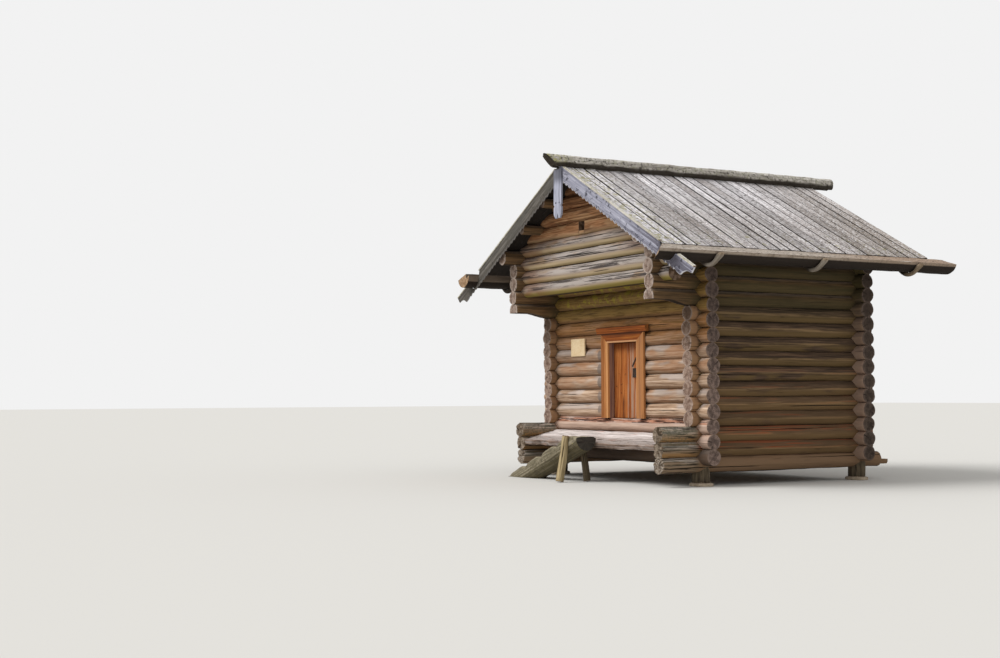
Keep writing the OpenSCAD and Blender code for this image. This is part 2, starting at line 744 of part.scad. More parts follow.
stone(1, front_y);  // stone_front_right
stone(-1, front_y);  // stone_front_left
stone(1, rear_y);  // stone_rear_right
stone(-1, rear_y);  // stone_rear_left
stump(1, front_y);  // stump_front_right
stump(-1, front_y);  // stump_front_left
stump(1, rear_y);  // stump_rear_right
stump(-1, rear_y);  // stump_rear_left
side_rows(1, 0, porch_rows - 1);  // right_porch_logs
side_rows(-1, 0, porch_rows - 1);  // left_porch_logs
side_rows(1, porch_rows, bracket_row - 1);  // right_wall
side_rows(-1, porch_rows, bracket_row - 1);  // left_wall
side_rows(1, bracket_row, plate_row);  // right_bracket_logs
side_rows(-1, bracket_row, plate_row);  // left_bracket_logs
front_wall_under_door();
front_wall_side(-1);  // front_wall_left
front_wall_side(1);  // front_wall_right
front_wall_over_door();
rear_wall();
rear_gable();
front_gable();
floor_boards();
soffit_boards();
porch_deck();
stair_log();
stair_leg_front();
stair_leg_rear();
door_post(-1);  // door_post_left
door_post(1);  // door_post_right
door_lintel();
casing_side(-1);  // casing_left
casing_side(1);  // casing_right
casing_head_board();
door_cornice();
door_leaf();
door_ledges();
door_pivots();
lock_plate();
notice_plate();
ridge_purlin();
side_purlins(1);  // right_purlins
side_purlins(-1);  // left_purlins
roof_boards(1);  // right_roof_boards
roof_boards(-1);  // left_roof_boards
gutter(1, gutter_front_right, 0);  // right_gutter
gutter(-1, gutter_front_left, gutter_plug);  // left_gutter
side_hooks(1, 0);  // right_hooks
side_hooks(-1, 0);  // left_hooks
ridge_log();
bargeboard(1);  // right_bargeboard
bargeboard(-1);  // left_bargeboard
pendant_board();
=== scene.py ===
# Looks of the raised log granary: every log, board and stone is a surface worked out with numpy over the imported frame
import math

import bpy
import numpy as np
from mathutils import Matrix, Vector


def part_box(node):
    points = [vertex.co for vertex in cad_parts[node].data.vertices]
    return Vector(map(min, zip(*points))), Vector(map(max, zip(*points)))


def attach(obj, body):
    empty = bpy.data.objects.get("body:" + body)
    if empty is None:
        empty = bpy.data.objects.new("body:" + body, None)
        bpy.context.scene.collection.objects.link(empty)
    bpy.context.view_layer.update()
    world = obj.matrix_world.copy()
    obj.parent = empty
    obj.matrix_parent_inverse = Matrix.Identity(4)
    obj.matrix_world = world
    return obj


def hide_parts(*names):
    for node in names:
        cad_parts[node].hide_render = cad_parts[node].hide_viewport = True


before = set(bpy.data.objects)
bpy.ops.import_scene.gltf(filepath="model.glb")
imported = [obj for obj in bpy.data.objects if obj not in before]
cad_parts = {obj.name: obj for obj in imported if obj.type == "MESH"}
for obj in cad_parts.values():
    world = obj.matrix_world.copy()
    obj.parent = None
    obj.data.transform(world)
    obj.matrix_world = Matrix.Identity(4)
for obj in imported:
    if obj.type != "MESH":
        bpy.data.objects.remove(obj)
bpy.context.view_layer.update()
print("frame loaded:", len(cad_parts), "nodes")

# Camera as it was fitted to the photo, and the light and floor round the object
photoView = {
    "position": (20.428, -15.280, 1.441),  # metres, in the frame
    "yaw": -61.046, "pitch": 2.677, "roll": -0.237,  # degrees
    "lens": 51.38, "sensor": 36.0,  # mm
    "farthest": 500,  # metres
}
studio = {
    "sky": 0.62, "keyStrength": 2.2, "keyFrom": (-0.30, -0.85, 0.95), "softness": 35.0,
    "fillStrength": 0.2, "fillFrom": (0.9, -0.5, 0.5), "floorSize": 320.0, "floorColour": "#d6d4cf",
    "backdrop": "#f2f2f2",
}


# sRGB hex to the linear values that sockets take: a straight line near black, a power of 2.4 above it
def linearColour(code):
    srgb = np.array([int(code[i:i + 2], 16) / 255 for i in (1, 3, 5)])
    linear = np.where(srgb <= 0.04045, srgb / 12.92, ((srgb + 0.055) / 1.055) ** 2.4)
    return (*[float(v) for v in linear], 1.0)


# Adds one node, its kind given without Blender's prefix, with its settings; an input is a value, or a socket to
# link from, and stops are the places and colours of a ramp
def addNode(tree, kind, inputs=None, stops=None, **settings):
    node = tree.nodes.new("ShaderNode" + kind)
    for name, value in settings.items():
        setattr(node, name, value)
    for key, value in (inputs or {}).items():
        if isinstance(value, bpy.types.NodeSocket):
            tree.links.new(value, node.inputs[key])
        else:
            node.inputs[key].default_value = value
    if stops:
        ramp = node.color_ramp
        while len(ramp.elements) < len(stops):
            ramp.elements.new(0.5)
        for element, (place, colour) in zip(ramp.elements, stops):
            element.position = place
            element.color = colour
    return node


# Camera: yaw turns the view from +Y towards +X and pitch lifts it; right is level, up is right x forward, and
# roll turns right and up about the view by its cosine and sine
def setCamera(view):
    yaw, pitch, roll = (math.radians(view[k]) for k in ("yaw", "pitch", "roll"))
    forward = Vector((math.sin(yaw) * math.cos(pitch), math.cos(yaw) * math.cos(pitch), math.sin(pitch)))
    right = Vector((math.cos(yaw), -math.sin(yaw), 0))
    up = right.cross(forward)
    right, up = (right * math.cos(roll) + up * math.sin(roll), up * math.cos(roll) - right * math.sin(roll))
    data = bpy.data.cameras.new("photoCamera")
    data.lens = view["lens"]
    data.sensor_width = view["sensor"]
    data.clip_end = view["farthest"]
    camera = bpy.data.objects.new("photoCamera", data)
    bpy.context.scene.collection.objects.link(camera)
    matrix = Matrix((right, up, -forward)).transposed().to_4x4()
    matrix.translation = Vector(view["position"])
    camera.matrix_world = matrix
    bpy.context.scene.camera = camera


# White sky that only the light sees, a plain backdrop for camera, mirror and glass rays (the sum of the three
# marks, held to 1, picks it), two soft suns and a pale matt floor
def setStudio(look):
    scene = bpy.context.scene
    scene.view_settings.view_transform = "Standard"
    world = bpy.data.worlds.new("studio")
    world.use_nodes = True
    scene.world = world
    tree = world.node_tree
    tree.nodes.clear()
    path = addNode(tree, "LightPath")
    seen = addNode(tree, "Math", {0: path.outputs["Is Camera Ray"], 1: path.outputs["Is Glossy Ray"]},
                   operation="ADD")
    seen = addNode(tree, "Math", {0: seen.outputs[0], 1: path.outputs["Is Transmission Ray"]},
                   operation="ADD", use_clamp=True)
    sky = addNode(tree, "Background", {"Color": (1, 1, 1, 1), "Strength": look["sky"]})
    back = addNode(tree, "Background", {"Color": linearColour(look["backdrop"]), "Strength": 1.0})
    mixed = addNode(tree, "MixShader", {0: seen.outputs[0], 1: sky.outputs[0], 2: back.outputs[0]})
    addNode(tree, "OutputWorld", {"Surface": mixed.outputs[0]})
    for name in ("key", "fill"):
        lamp = bpy.data.lights.new(name + "Light", "SUN")
        lamp.energy = look[name + "Strength"]
        lamp.angle = math.radians(look["softness"])
        holder = bpy.data.objects.new(name + "Light", lamp)
        holder.rotation_mode = "QUATERNION"
        holder.rotation_quaternion = Vector(look[name + "From"]).to_track_quat("Z", "Y")
        scene.collection.objects.link(holder)
    half = look["floorSize"] / 2
    mesh = bpy.data.meshes.new("studioFloor")
    mesh.from_pydata([(-half, -half, 0), (half, -half, 0), (half, half, 0), (-half, half, 0)], [], [(0, 1, 2, 3)])
    floor = bpy.data.objects.new("studioFloor", mesh)
    scene.collection.objects.link(floor)
    material = bpy.data.materials.new("studioFloorPaint")
    material.use_nodes = True
    shader = material.node_tree.nodes["Principled BSDF"]
    shader.inputs["Base Color"].default_value = linearColour(look["floorColour"])
    shader.inputs["Roughness"].default_value = 1.0
    shader.inputs["Specular IOR Level"].default_value = 0.0
    mesh.materials.append(material)


setCamera(photoView)
setStudio(studio)
print("camera, floor and lights set")


# What all the woods share
rampPlaces = (0.36, 0.5, 0.64)  # dark, mid and pale tone on a noise that mostly lies between 0.3 and 0.7
toneShift = (31.0, 17.0, 23.0)  # times its tone, this moves each log to its own part of the noises
# Dull surface, noises that keep their fine parts, and checks that darken fast. Relief: what fibre adds to streaks,
# how far checks cut in, and how far the radial checks of an end do
woodSurface = {"sheen": 0.2, "noiseRoughness": 0.62, "checkFade": 0.05,
               "fibreLift": 0.6, "checkCut": -1.2, "rayCut": -2.0}
# End of a log: a noise sets the rings wandering, and a check shows where a noise of the direction from the axis is high
endGrain = {"wobbleScale": 14.0, "wander": 6.0, "rings": (-0.6, 1.0), "ringShare": 0.3, "rayScale": 5.5,
            "rays": (0.60, 0.66), "rayShare": 0.85, "faceTones": (0.4, 0.6)}


# Weathered wood: long noises along the fibre give fibre, streaks and drying checks, then each layer lays its
# colour where its masks meet, as the product of smooth steps. A log's end shows the sine of its distance from the
# axis as rings, and radial checks.
# The attribute grain holds (along, across, up) in metres from the piece's own axis, and wear holds (tone, end, crack).
def weatheredWood(name, look):
    material = bpy.data.materials.new(name)
    material.use_nodes = True
    tree = material.node_tree
    tree.nodes.clear()
    place = addNode(tree, "TexCoord").outputs["Object"]
    placeParts = addNode(tree, "SeparateXYZ", {0: place}).outputs
    normal = addNode(tree, "NewGeometry").outputs["Normal"]
    normal = addNode(tree, "SeparateXYZ", {0: normal}).outputs
    wear = None
    if "grainOrder" in look:
        grain = addNode(tree, "CombineXYZ", {k: placeParts[look["grainOrder"][k]] for k in range(3)})
        grain = shifted = grain.outputs[0]
    else:
        grain = addNode(tree, "Attribute", attribute_name="grain").outputs["Vector"]
        wear = addNode(tree, "Attribute", attribute_name="wear").outputs["Vector"]
        wear = addNode(tree, "SeparateXYZ", {0: wear}).outputs
        shifted = addNode(tree, "VectorMath", {0: wear[0], 1: toneShift, 2: grain},
                          operation="MULTIPLY_ADD").outputs[0]
    grainParts = addNode(tree, "SeparateXYZ", {0: grain}).outputs
    sources = {"x": placeParts[0], "y": placeParts[1], "z": placeParts[2], "facing": normal[2],
               "across": grainParts[1], "rise": grainParts[2]}
    if wear:
        sources["tone"] = wear[0]
    for field, detail in (("fibre", 3.0), ("streak", 4.0), ("patch", 2.0), ("check", 2.0)):
        along, across = look[field]
        scaled = addNode(tree, "VectorMath", {0: shifted, 1: (1000 / along, 1000 / across, 1000 / across)},
                         operation="MULTIPLY")
        sources[field] = addNode(tree, "TexNoise", {
            "Vector": scaled.outputs[0], "Scale": 1.0, "Detail": detail,
            "Roughness": woodSurface["noiseRoughness"]}).outputs["Fac"]

    # each colour covers what is under it by its share times all its masks, each a smooth step of one source
    def layOver(colour, layers):
        for code, share, *masks in layers:
            factor = None
            for source, *limits in masks:
                socket = sources.get(source)
                if source == "spots":
                    socket = addNode(tree, "TexNoise", {
                        "Vector": place, "Scale": 1000 / limits.pop(0), "Detail": 3.0, "Roughness": 0.7}).outputs["Fac"]
                mask = addNode(tree, "MapRange", {
                    0: socket, 1: limits[0], 2: limits[1], 3: 0.0, 4: share if factor is None else 1.0},
                    interpolation_type="SMOOTHSTEP").outputs[0]
                factor = mask if factor is None else addNode(tree, "Math", {0: factor, 1: mask},
                                                             operation="MULTIPLY").outputs[0]
            colour = addNode(tree, "Mix", {0: factor, 6: colour, 7: linearColour(code)}, data_type="RGBA").outputs[2]
        return colour

    blend = addNode(tree, "Mix", {0: look["fibreShare"], 2: sources["streak"], 3: sources["fibre"]},
                    data_type="FLOAT").outputs[0]
    colour = addNode(tree, "ValToRGB", {0: blend}, stops=[
        (spot, linearColour(code)) for spot, code in zip(rampPlaces, look["tones"])]).outputs["Color"]
    colour = layOver(colour, look["layers"])
    low = look["checkFrom"]
    checks = addNode(tree, "MapRange", {0: sources["check"], 1: low, 2: low + woodSurface["checkFade"],
                                        3: 0.0, 4: look["checkShare"]}, clamp=True).outputs[0]
    colour = addNode(tree, "Mix", {0: checks, 6: colour, 7: linearColour(look["checkColour"])},
                     data_type="RGBA").outputs[2]
    height = addNode(tree, "Math", {0: sources["fibre"], 1: woodSurface["fibreLift"], 2: sources["streak"]},
                     operation="MULTIPLY_ADD").outputs[0]
    height = addNode(tree, "Math", {0: checks, 1: woodSurface["checkCut"], 2: height},
                     operation="MULTIPLY_ADD").outputs[0]
    if wear:
        # the value of a whole log runs up or down with its tone
        bright = addNode(tree, "MapRange", {0: wear[0], 1: 0.0, 2: 1.0, 3: 1 + look["toneValue"],
                                            4: 1 - look["toneValue"]}).outputs[0]
        colour = addNode(tree, "VectorMath", {0: colour, "Scale": bright}, operation="SCALE").outputs[0]
        # end grain: rings round the axis, checks that run out from it
        across = addNode(tree, "VectorMath", {0: grain, 1: (0.0, 1.0, 1.0)}, operation="MULTIPLY").outputs[0]
        reach = addNode(tree, "VectorMath", {0: across}, operation="LENGTH").outputs["Value"]
        heading = addNode(tree, "VectorMath", {0: across}, operation="NORMALIZE").outputs[0]
        heading = addNode(tree, "VectorMath", {0: wear[0], 1: toneShift, 2: heading},
                          operation="MULTIPLY_ADD").outputs[0]
        wobble = addNode(tree, "TexNoise", {"Vector": shifted, "Scale": endGrain["wobbleScale"],
                                            "Detail": 2.0}).outputs["Fac"]
        turns = addNode(tree, "Math", {0: reach, 1: 2 * math.pi * 1000 / look["ringWidth"]},
                        operation="MULTIPLY").outputs[0]
        turns = addNode(tree, "Math", {0: wobble, 1: endGrain["wander"], 2: turns}, operation="MULTIPLY_ADD").outputs[0]
        rings = addNode(tree, "Math", {0: turns}, operation="SINE").outputs[0]
        low, high = endGrain["rings"]
        rings = addNode(tree, "MapRange", {0: rings, 1: low, 2: high, 3: 0.0, 4: endGrain["ringShare"]}).outputs[0]
        rays = addNode(tree, "TexNoise", {"Vector": heading, "Scale": endGrain["rayScale"], "Detail": 2.0,
                                          "Roughness": 0.7}).outputs["Fac"]
        low, high = endGrain["rays"]
        rays = addNode(tree, "MapRange", {0: rays, 1: low, 2: high, 3: 0.0, 4: endGrain["rayShare"]}).outputs[0]
        low, high = endGrain["faceTones"]
        face = addNode(tree, "MapRange", {0: wobble, 1: low, 2: high}).outputs[0]
        endPale, endMid, endDark = look["endTones"]
        endColour = addNode(tree, "Mix", {0: face, 6: linearColour(endPale), 7: linearColour(endMid)},
                            data_type="RGBA").outputs[2]
        sources["reach"] = reach
        endColour = layOver(endColour, look.get("endLayers", ()))
        for factor, code in ((rings, endDark), (rays, look["crackColour"])):
            endColour = addNode(tree, "Mix", {0: factor, 6: endColour, 7: linearColour(code)},
                                data_type="RGBA").outputs[2]
        colour = addNode(tree, "Mix", {0: wear[1], 6: colour, 7: endColour}, data_type="RGBA").outputs[2]
        colour = addNode(tree, "Mix", {0: wear[2], 6: colour, 7: linearColour(look["crackColour"])},
                         data_type="RGBA").outputs[2]
        endHeight = addNode(tree, "Math", {0: rays, 1: woodSurface["rayCut"], 2: rings},
                            operation="MULTIPLY_ADD").outputs[0]
        height = addNode(tree, "Mix", {0: wear[1], 2: height, 3: endHeight}, data_type="FLOAT").outputs[0]
    bump = addNode(tree, "Bump", {"Height": height, "Strength": look["bump"],
                                  "Distance": look["relief"] / 1000}).outputs[0]
    shader = addNode(tree, "BsdfPrincipled", {
        "Base Color": colour, "Roughness": look["roughness"], "Specular IOR Level": woodSurface["sheen"],
        "Normal": bump})
    addNode(tree, "OutputMaterial", {"Surface": shader.outputs[0]})
    return material


# Lengths are in mm: (along the fibre, across it), drawn a little coarser than real fibre so that they show.
# A layer is (colour, share, masks), a mask (source, value where it starts, value where it is full); x, y, z, across
# and rise are in metres, rise being the height over the log's own axis. ("spots", size, start, full) is a noise.
# tones and endTones run from dark to pale on the flank, and from pale to dark on the end.
pine = {
    "fibre": (500, 20), "streak": (1500, 38), "patch": (900, 300), "check": (1100, 22), "fibreShare": 0.45,
    "checkFrom": 0.665, "checkShare": 0.8, "checkColour": "#2a1c12", "crackColour": "#1c130c",
    "toneValue": 0.14, "ringWidth": 26, "bump": 0.6, "relief": 7.0, "roughness": 0.88,
    "tones": ("#6b4f38", "#a3866a", "#c6ab91"),
    "endTones": ("#b39c86", "#846a54", "#5c4635"), "layers": [],
}
# Painted shade: dark in the seam under a log, and the log's painted shadow on the log below
paintedSeamShade = [("#1a120b", 0.85, ("rise", -0.106, -0.124)), ("#2a1e14", 0.5, ("rise", 0.114, 0.128))]
# Front wall: sunned, rain-washed pine, tan and pink where it dries, brown and then green under the overhang
frontPine = weatheredWood("pineLogWeathered", {
    **pine, "tones": ("#694e38", "#a3876f", "#d0b8a1"),
    "endTones": ("#8c776c", "#63534c", "#413630"),
    # the first end layer darkens the ends higher up the wall: painted shade of the overhang on the end faces
    "endLayers": [("#352b27", 0.6, ("z", 1.4, 2.8)), ("#8c796c", 0.35, ("reach", 0.090, 0.120))],
    "layers": [
        ("#b27b52", 0.45, ("tone", 0.5, 0.9), ("patch", 0.42, 0.6)),
        ("#b8aea8", 0.6, ("rise", -0.02, 0.07), ("patch", 0.56, 0.42)),
        ("#7a6d64", 0.8, ("x", -0.67, -0.65), ("x", -0.40, -0.42), ("rise", -0.105, -0.07), ("rise", 0.105, 0.07),
         ("z", 1.12, 1.16), ("z", 2.30, 2.24)),
        ("#9c6c3c", 0.8, ("z", 2.2, 2.5)),
        ("#8b713c", 0.8, ("z", 2.66, 2.86)),
        ("#57431f", 0.55, ("z", 2.2, 2.6), ("fibre", 0.50, 0.43)),
        ("#a79a34", 0.6, ("z", 2.9, 3.05), ("x", 2.0, 1.8), ("spots", 130, 0.50, 0.60)),
        # the first layer below darkens the lower side of each log: painted shade
        ("#7a5c42", 0.6, ("rise", -0.05, -0.11)), ("#cdb3a6", 0.45, ("z", 1.12, 1.02)),
        ("#a5623f", 0.7, ("z", 0.96, 0.985), ("z", 1.07, 1.055), ("streak", 0.45, 0.52)),
        ("#2c120a", 0.9, ("z", 0.97, 0.985), ("z", 1.06, 1.045), ("fibre", 0.49, 0.52)),
        # the first layer below darkens the lowest log: painted shade under the porch deck
        ("#3a2e22", 0.8, ("z", 0.62, 0.56)), *paintedSeamShade],
})
# Side and rear walls: round pine logs that stay damp, purple-brown on top, olive below, with red rot low down; their
# dark tones are damp wood darkened further by painted shade of walls turned from the light
dampShadedPine = {
    **pine, "tones": ("#31261c", "#4b3b2e", "#6e5845"), "checkFrom": 0.675,
    "toneValue": 0.12, "endTones": ("#a38c7d", "#7a6254", "#533f32"),
    # the first end layer darkens the ends higher up: painted shade of the eave on the end faces
    "endLayers": [("#4a3829", 0.8, ("z", 1.9, 2.8)), ("#c4b2a6", 0.3, ("reach", 0.090, 0.120))],
}
dampLayersWithPaintedLight = [
    # lower half of each log olive, lightened as painted light thrown up from the ground
    ("#695534", 0.75, ("rise", 0.04, -0.07), ("patch", 0.34, 0.46)),
    # the first layer below darkens the logs towards the eave: painted shade
    ("#3f3a20", 0.7, ("z", 2.5, 3.3)), ("#7a5f42", 0.4, ("z", 1.8, 1.2)),
    # a thin pale line along the middle of each log: painted highlight
    ("#957a55", 0.5, ("rise", 0.035, 0.01), ("rise", -0.035, -0.01), ("streak", 0.48, 0.56), ("z", 3.0, 2.6)),
    ("#87482c", 0.75, ("z", 0.97, 0.92), ("z", 0.56, 0.6), ("rise", -0.03, 0.02), ("streak", 0.48, 0.57)),
    ("#7c4529", 0.7, ("z", 2.3, 1.2), ("rise", -0.03, 0.02), ("streak", 0.54, 0.64)),
    ("#866b52", 0.85, ("z", 0.49, 0.45)),
]
# Side walls: the same logs; their flanks in front of the corner are painted tan as painted light, where they reach past
# the corner into the light
shadePine = weatheredWood("pineLogDampShaded", {
    **dampShadedPine, "layers": [*dampLayersWithPaintedLight, ("#a07c5c", 0.7, ("y", -1.64, -1.70)), *paintedSeamShade]})
# Rear wall: the same damp logs, their ends nearly black, the short flanks beside them paler where the light gets in
rearFlank = [("#a68c7b", 0.8, ("y", 1.70, 1.62), ("x", s * 2.16, s * 2.24), ("z", 3.2, 2.0)) for s in (1, -1)]
rearPine = weatheredWood("pineLogRear", {
    **dampShadedPine, "endTones": ("#55483f", "#40352e", "#2d2520"),
    # the first end layer darkens the ends higher up: painted shade of the eave on the end faces
    "endLayers": [("#40342c", 0.7, ("z", 1.4, 2.8)), ("#87746a", 0.3, ("reach", 0.090, 0.120))],
    "layers": [*dampLayersWithPaintedLight, *rearFlank, *paintedSeamShade]})
# Porch logs: damp along the wall, their front ends split, grey and grown over with lichen
porchEnd = ("y", -1.62, -1.78)
porchPine = weatheredWood("pineLogRotted", {
    **dampShadedPine, "endTones": ("#8f8070", "#665747", "#43372b"), "endLayers": [
        ("#c9bfb2", 0.7, ("fibre", 0.5, 0.6), ("z", 0.55, 0.42))],
    "layers": [*dampLayersWithPaintedLight, ("#8a755e", 0.95, porchEnd), ("#b8ada2", 0.85, porchEnd, ("rise", -0.02, 0.06),
               ("streak", 0.42, 0.54)), ("#98703f", 0.7, porchEnd, ("rise", -0.02, -0.08), ("z", 0.42, 0.46)),
               ("#5d5c48", 0.6, porchEnd, ("spots", 45, 0.48, 0.56), ("z", 0.55, 0.75)),
               ("#4a4c40", 0.7, porchEnd, ("rise", -0.04, 0.02), ("fibre", 0.50, 0.57)),
               ("#231b14", 0.9, porchEnd, ("check", 0.555, 0.585)), *paintedSeamShade],
})
# Gable: pine still orange under the peak, silver and split where the rain reaches it, olive underneath
rained = ("z", 4.30, 4.02)
gablePine = weatheredWood("pineLogGable", {
    **pine, "tones": ("#5f3d24", "#956845", "#b98f69"), "check": (1500, 30), "toneValue": 0.08,
    "endTones": ("#8a7260", "#5c4736", "#3d2f24"),
    "layers": [
        ("#b08c66", 0.6, ("patch", 0.52, 0.6), ("z", 4.6, 4.4)),
        ("#5c3b22", 0.75, ("z", 4.65, 5.05)), ("#4c2f1b", 0.6, ("z", 4.25, 4.40), ("streak", 0.50, 0.42)),
        ("#c29d74", 0.5, ("z", 4.85, 4.45), ("streak", 0.55, 0.62)),
        ("#96826c", 0.85, rained), ("#a9a19c", 0.85, rained, ("rise", -0.08, 0.02), ("patch", 0.34, 0.48)),
        ("#c2af8b", 0.65, rained, ("rise", -0.02, -0.08)), ("#83724a", 0.6, rained, ("rise", -0.07, -0.1)),
        ("#7d6f1e", 0.75, ("z", 3.44, 3.34), ("rise", -0.03, -0.08)),
        # browner towards the left end: painted shade beside the brackets
        ("#7d5434", 0.65, ("x", -0.8, -1.8), ("patch", 0.36, 0.5)),
        ("#8a5a34", 0.6, ("x", 0.9, 1.9), ("z", 3.7, 3.9)),
        ("#4b4340", 0.5, rained, ("rise", -0.06, 0.0), ("fibre", 0.55, 0.59)),
        ("#2f2828", 0.85, rained, ("rise", -0.05, 0.0), ("check", 0.56, 0.58)),
        # painted shade in the seams under the logs, darker in the lower, rained rows
        ("#1a120b", 0.85, ("rise", -0.106, -0.124), rained), ("#3a2414", 0.6, ("rise", -0.112, -0.128))],
})
# Bracket logs: brown and sheltered, olive behind the gable, their ends bleached and split
bracketPine = weatheredWood("pineLogBracket", {
    **pine, "tones": ("#3f3323", "#634d35", "#856848"),
    "endTones": ("#a28f83", "#7b675a", "#4f3f32"), "endLayers": [
        ("#cfc2b7", 0.4, ("reach", 0.090, 0.120)), ("#5d4533", 0.6, ("y", 0.0, 1.0))],
    "layers": [
        # the second layer below darkens the upper logs at the front: painted shade under the eave
        ("#443d25", 0.75, ("y", -2.0, -1.6), ("rise", 0.09, 0.0)), ("#2e2a1c", 0.6, ("z", 3.2, 3.7), ("y", -2.1, -1.8)),
        ("#8a8076", 0.5, ("facing", 0.4, 0.9)), *paintedSeamShade],
})
# Roof boards: sawn pine bleached silver by the sun, speckled, with lichen on the first boards and at the eave
roofPine = weatheredWood("pineBoardBleached", {
    **pine, "fibre": (300, 22), "streak": (1500, 34), "patch": (1500, 500), "check": (900, 18), "fibreShare": 0.5,
    "tones": ("#8a8382", "#cfcacc", "#f4f2f4"), "checkFrom": 0.61, "checkShare": 0.75,
    "checkColour": "#5a5350", "crackColour": "#231e1a", "toneValue": 0.2, "relief": 5.0,
    "endTones": ("#8f8780", "#6f6761", "#514a44"), "layers": [
        ("#a3978f", 0.6, ("tone", 0.6, 1.0), ("patch", 0.4, 0.6)),
        ("#857a70", 0.5, ("z", 5.1, 4.2), ("y", -2.7, -1.2)), ("#94846f", 0.4, ("y", 0.5, 2.4)),
        ("#4f4946", 0.85, ("spots", 55, 0.555, 0.61)), ("#f7f5f6", 0.6, ("spots", 40, 0.45, 0.41)),
        ("#99935f", 0.75, ("y", -1.7, -2.8), ("spots", 90, 0.52, 0.58)),
        ("#a09a68", 0.6, ("z", 4.3, 3.8), ("spots", 110, 0.58, 0.66)),
        # undersides dark brown: unbleached wood, made darker by painted shade
        ("#2e261d", 0.95, ("facing", 0.1, -0.3))],
})
# Ridge log: never dry, so lichen speckles its top, and its underside is dark with painted shade
ridgePine = weatheredWood("pineLogMossy", {
    **pine, "fibre": (120, 30), "tones": ("#77716a", "#b0aaa1", "#d8d3cb"), "crackColour": "#2e271e",
    "endTones": ("#4a4238", "#3a332b", "#2a241e"), "layers": [
        ("#94927a", 0.6, ("spots", 60, 0.52, 0.60)), ("#a8a468", 0.75, ("y", -2.5, -3.1), ("spots", 90, 0.46, 0.54)),
        ("#45413a", 0.85, ("spots", 42, 0.54, 0.59)), ("#dcd8ce", 0.6, ("facing", 0.5, 0.9), ("spots", 50, 0.48, 0.42)),
        # underside dark: painted shade
        ("#2b241d", 0.95, ("facing", 0.0, -0.35))],
})
# Gutter: hewn pine, its wet flat top silver and speckled, with a painted highlight on the outer arris; its flanks
# nearly black, damp wood under painted shade
gutterPine = weatheredWood("pineGutterHewn", {
    **pine, "fibre": (200, 26), "tones": ("#6f665d", "#a5998c", "#cfc5b9"), "crackColour": "#231b15",
    "endTones": ("#bf9f80", "#8f7050", "#5f4f40"), "layers": [
        ("#937963", 0.75, ("y", -0.5, 1.8)), ("#4f4541", 0.85, ("spots", 42, 0.54, 0.60)),
        # pale outer arris of the flat top: painted highlight
        ("#d9d3cd", 0.75, ("across", 0.192, 0.206), ("facing", 0.6, 0.9)),
        # near-black flanks and underside: damp wood, darkened by painted shade
        ("#1f1813", 0.97, ("facing", 0.75, 0.4), ("across", 0.15, 0.10)),
        ("#8b7c6d", 0.6, ("facing", 0.2, -0.1)), ("#1f1813", 0.97, ("facing", 0.2, -0.1), ("rise", -0.100, -0.122))],
})
# Hooked timbers: pine roots peeled and rubbed smooth, pale outside, and dark behind the gutter with painted shade of
# the eave
hookPine = weatheredWood("pineRootHook", {
    **pine, "tones": ("#7a6e60", "#b3a695", "#d8cdbf"), "endTones": ("#b09c84", "#8a765f", "#5c4c3c"), "layers": [
        # the dark layers inboard of the gutter are painted shade
        ("#cdb08b", 0.65, ("y", 1.6, 1.9)), ("#2b231c", 0.95, ("x", 3.12, 3.00)),
        ("#2b231c", 0.6, ("x", -3.12, -3.00))]})
# Bargeboards: sawn boards gone blue-grey, with dark knots; the left one stays brown and damp. On both, the crack colour
# is a painted highlight along the lower edge and the tooth tips
bargeLook = {
    **pine, "fibre": (300, 14), "streak": (1200, 40), "check": (500, 14), "checkColour": "#3c3a42", "checkFrom": 0.66,
    "relief": 4.0, "toneValue": 0.05, "endTones": ("#dcdbdf", "#b5b4bb", "#8f8e98"),
    # crack colour: the painted highlight on the lower edge
    "crackColour": "#ecebef"}
bargePine = weatheredWood("pineBoardBlueGrey", {
    **bargeLook, "tones": ("#63636e", "#8f8f9d", "#b8b8c4"), "layers": [
        ("#54505a", 0.7, ("x", 1.6, 2.9), ("streak", 0.62, 0.45)), ("#33333c", 0.85, ("spots", 70, 0.585, 0.63))]})
dampBargePine = weatheredWood("pineBoardBrownGrey", {
    **bargeLook, "tones": ("#35302a", "#555049", "#7a756f"), "crackColour": "#8d8a88", "layers": [
        ("#4c4a45", 0.5, ("patch", 0.45, 0.55)), ("#1f1c1a", 0.8, ("spots", 60, 0.62, 0.67))]})
# Verge strips: split laths, silver with a little lichen
verge = weatheredWood("pineLathBleached", {
    **pine, "tones": ("#8a8378", "#bcb6aa", "#e2ded6"), "crackColour": "#3a332a", "layers": [
        ("#8d8a60", 0.5, ("spots", 50, 0.50, 0.58))]})
# Porch planks: bleached nearly white, rough and reddish along the front edge
deckPine = weatheredWood("pinePlankBleached", {
    **pine, "tones": ("#948a85", "#d8cec9", "#f4edea"), "checkFrom": 0.63, "checkColour": "#4a3a30",
    "endTones": ("#b9ab9f", "#8d7c6e", "#66574a"), "layers": [
        ("#b97a5e", 0.6, ("patch", 0.60, 0.68)), ("#8f8178", 0.6, ("y", -2.0, -2.1)),
        # the second layer below darkens the planks' undersides: painted shade
        ("#8a6f5c", 0.8, ("y", -2.27, -2.36), ("streak", 0.42, 0.55)), ("#4a3a2e", 0.85, ("facing", 0.0, -0.7)),
        ("#3c2c22", 0.85, ("y", -1.9, -2.3), ("fibre", 0.42, 0.38))],
})
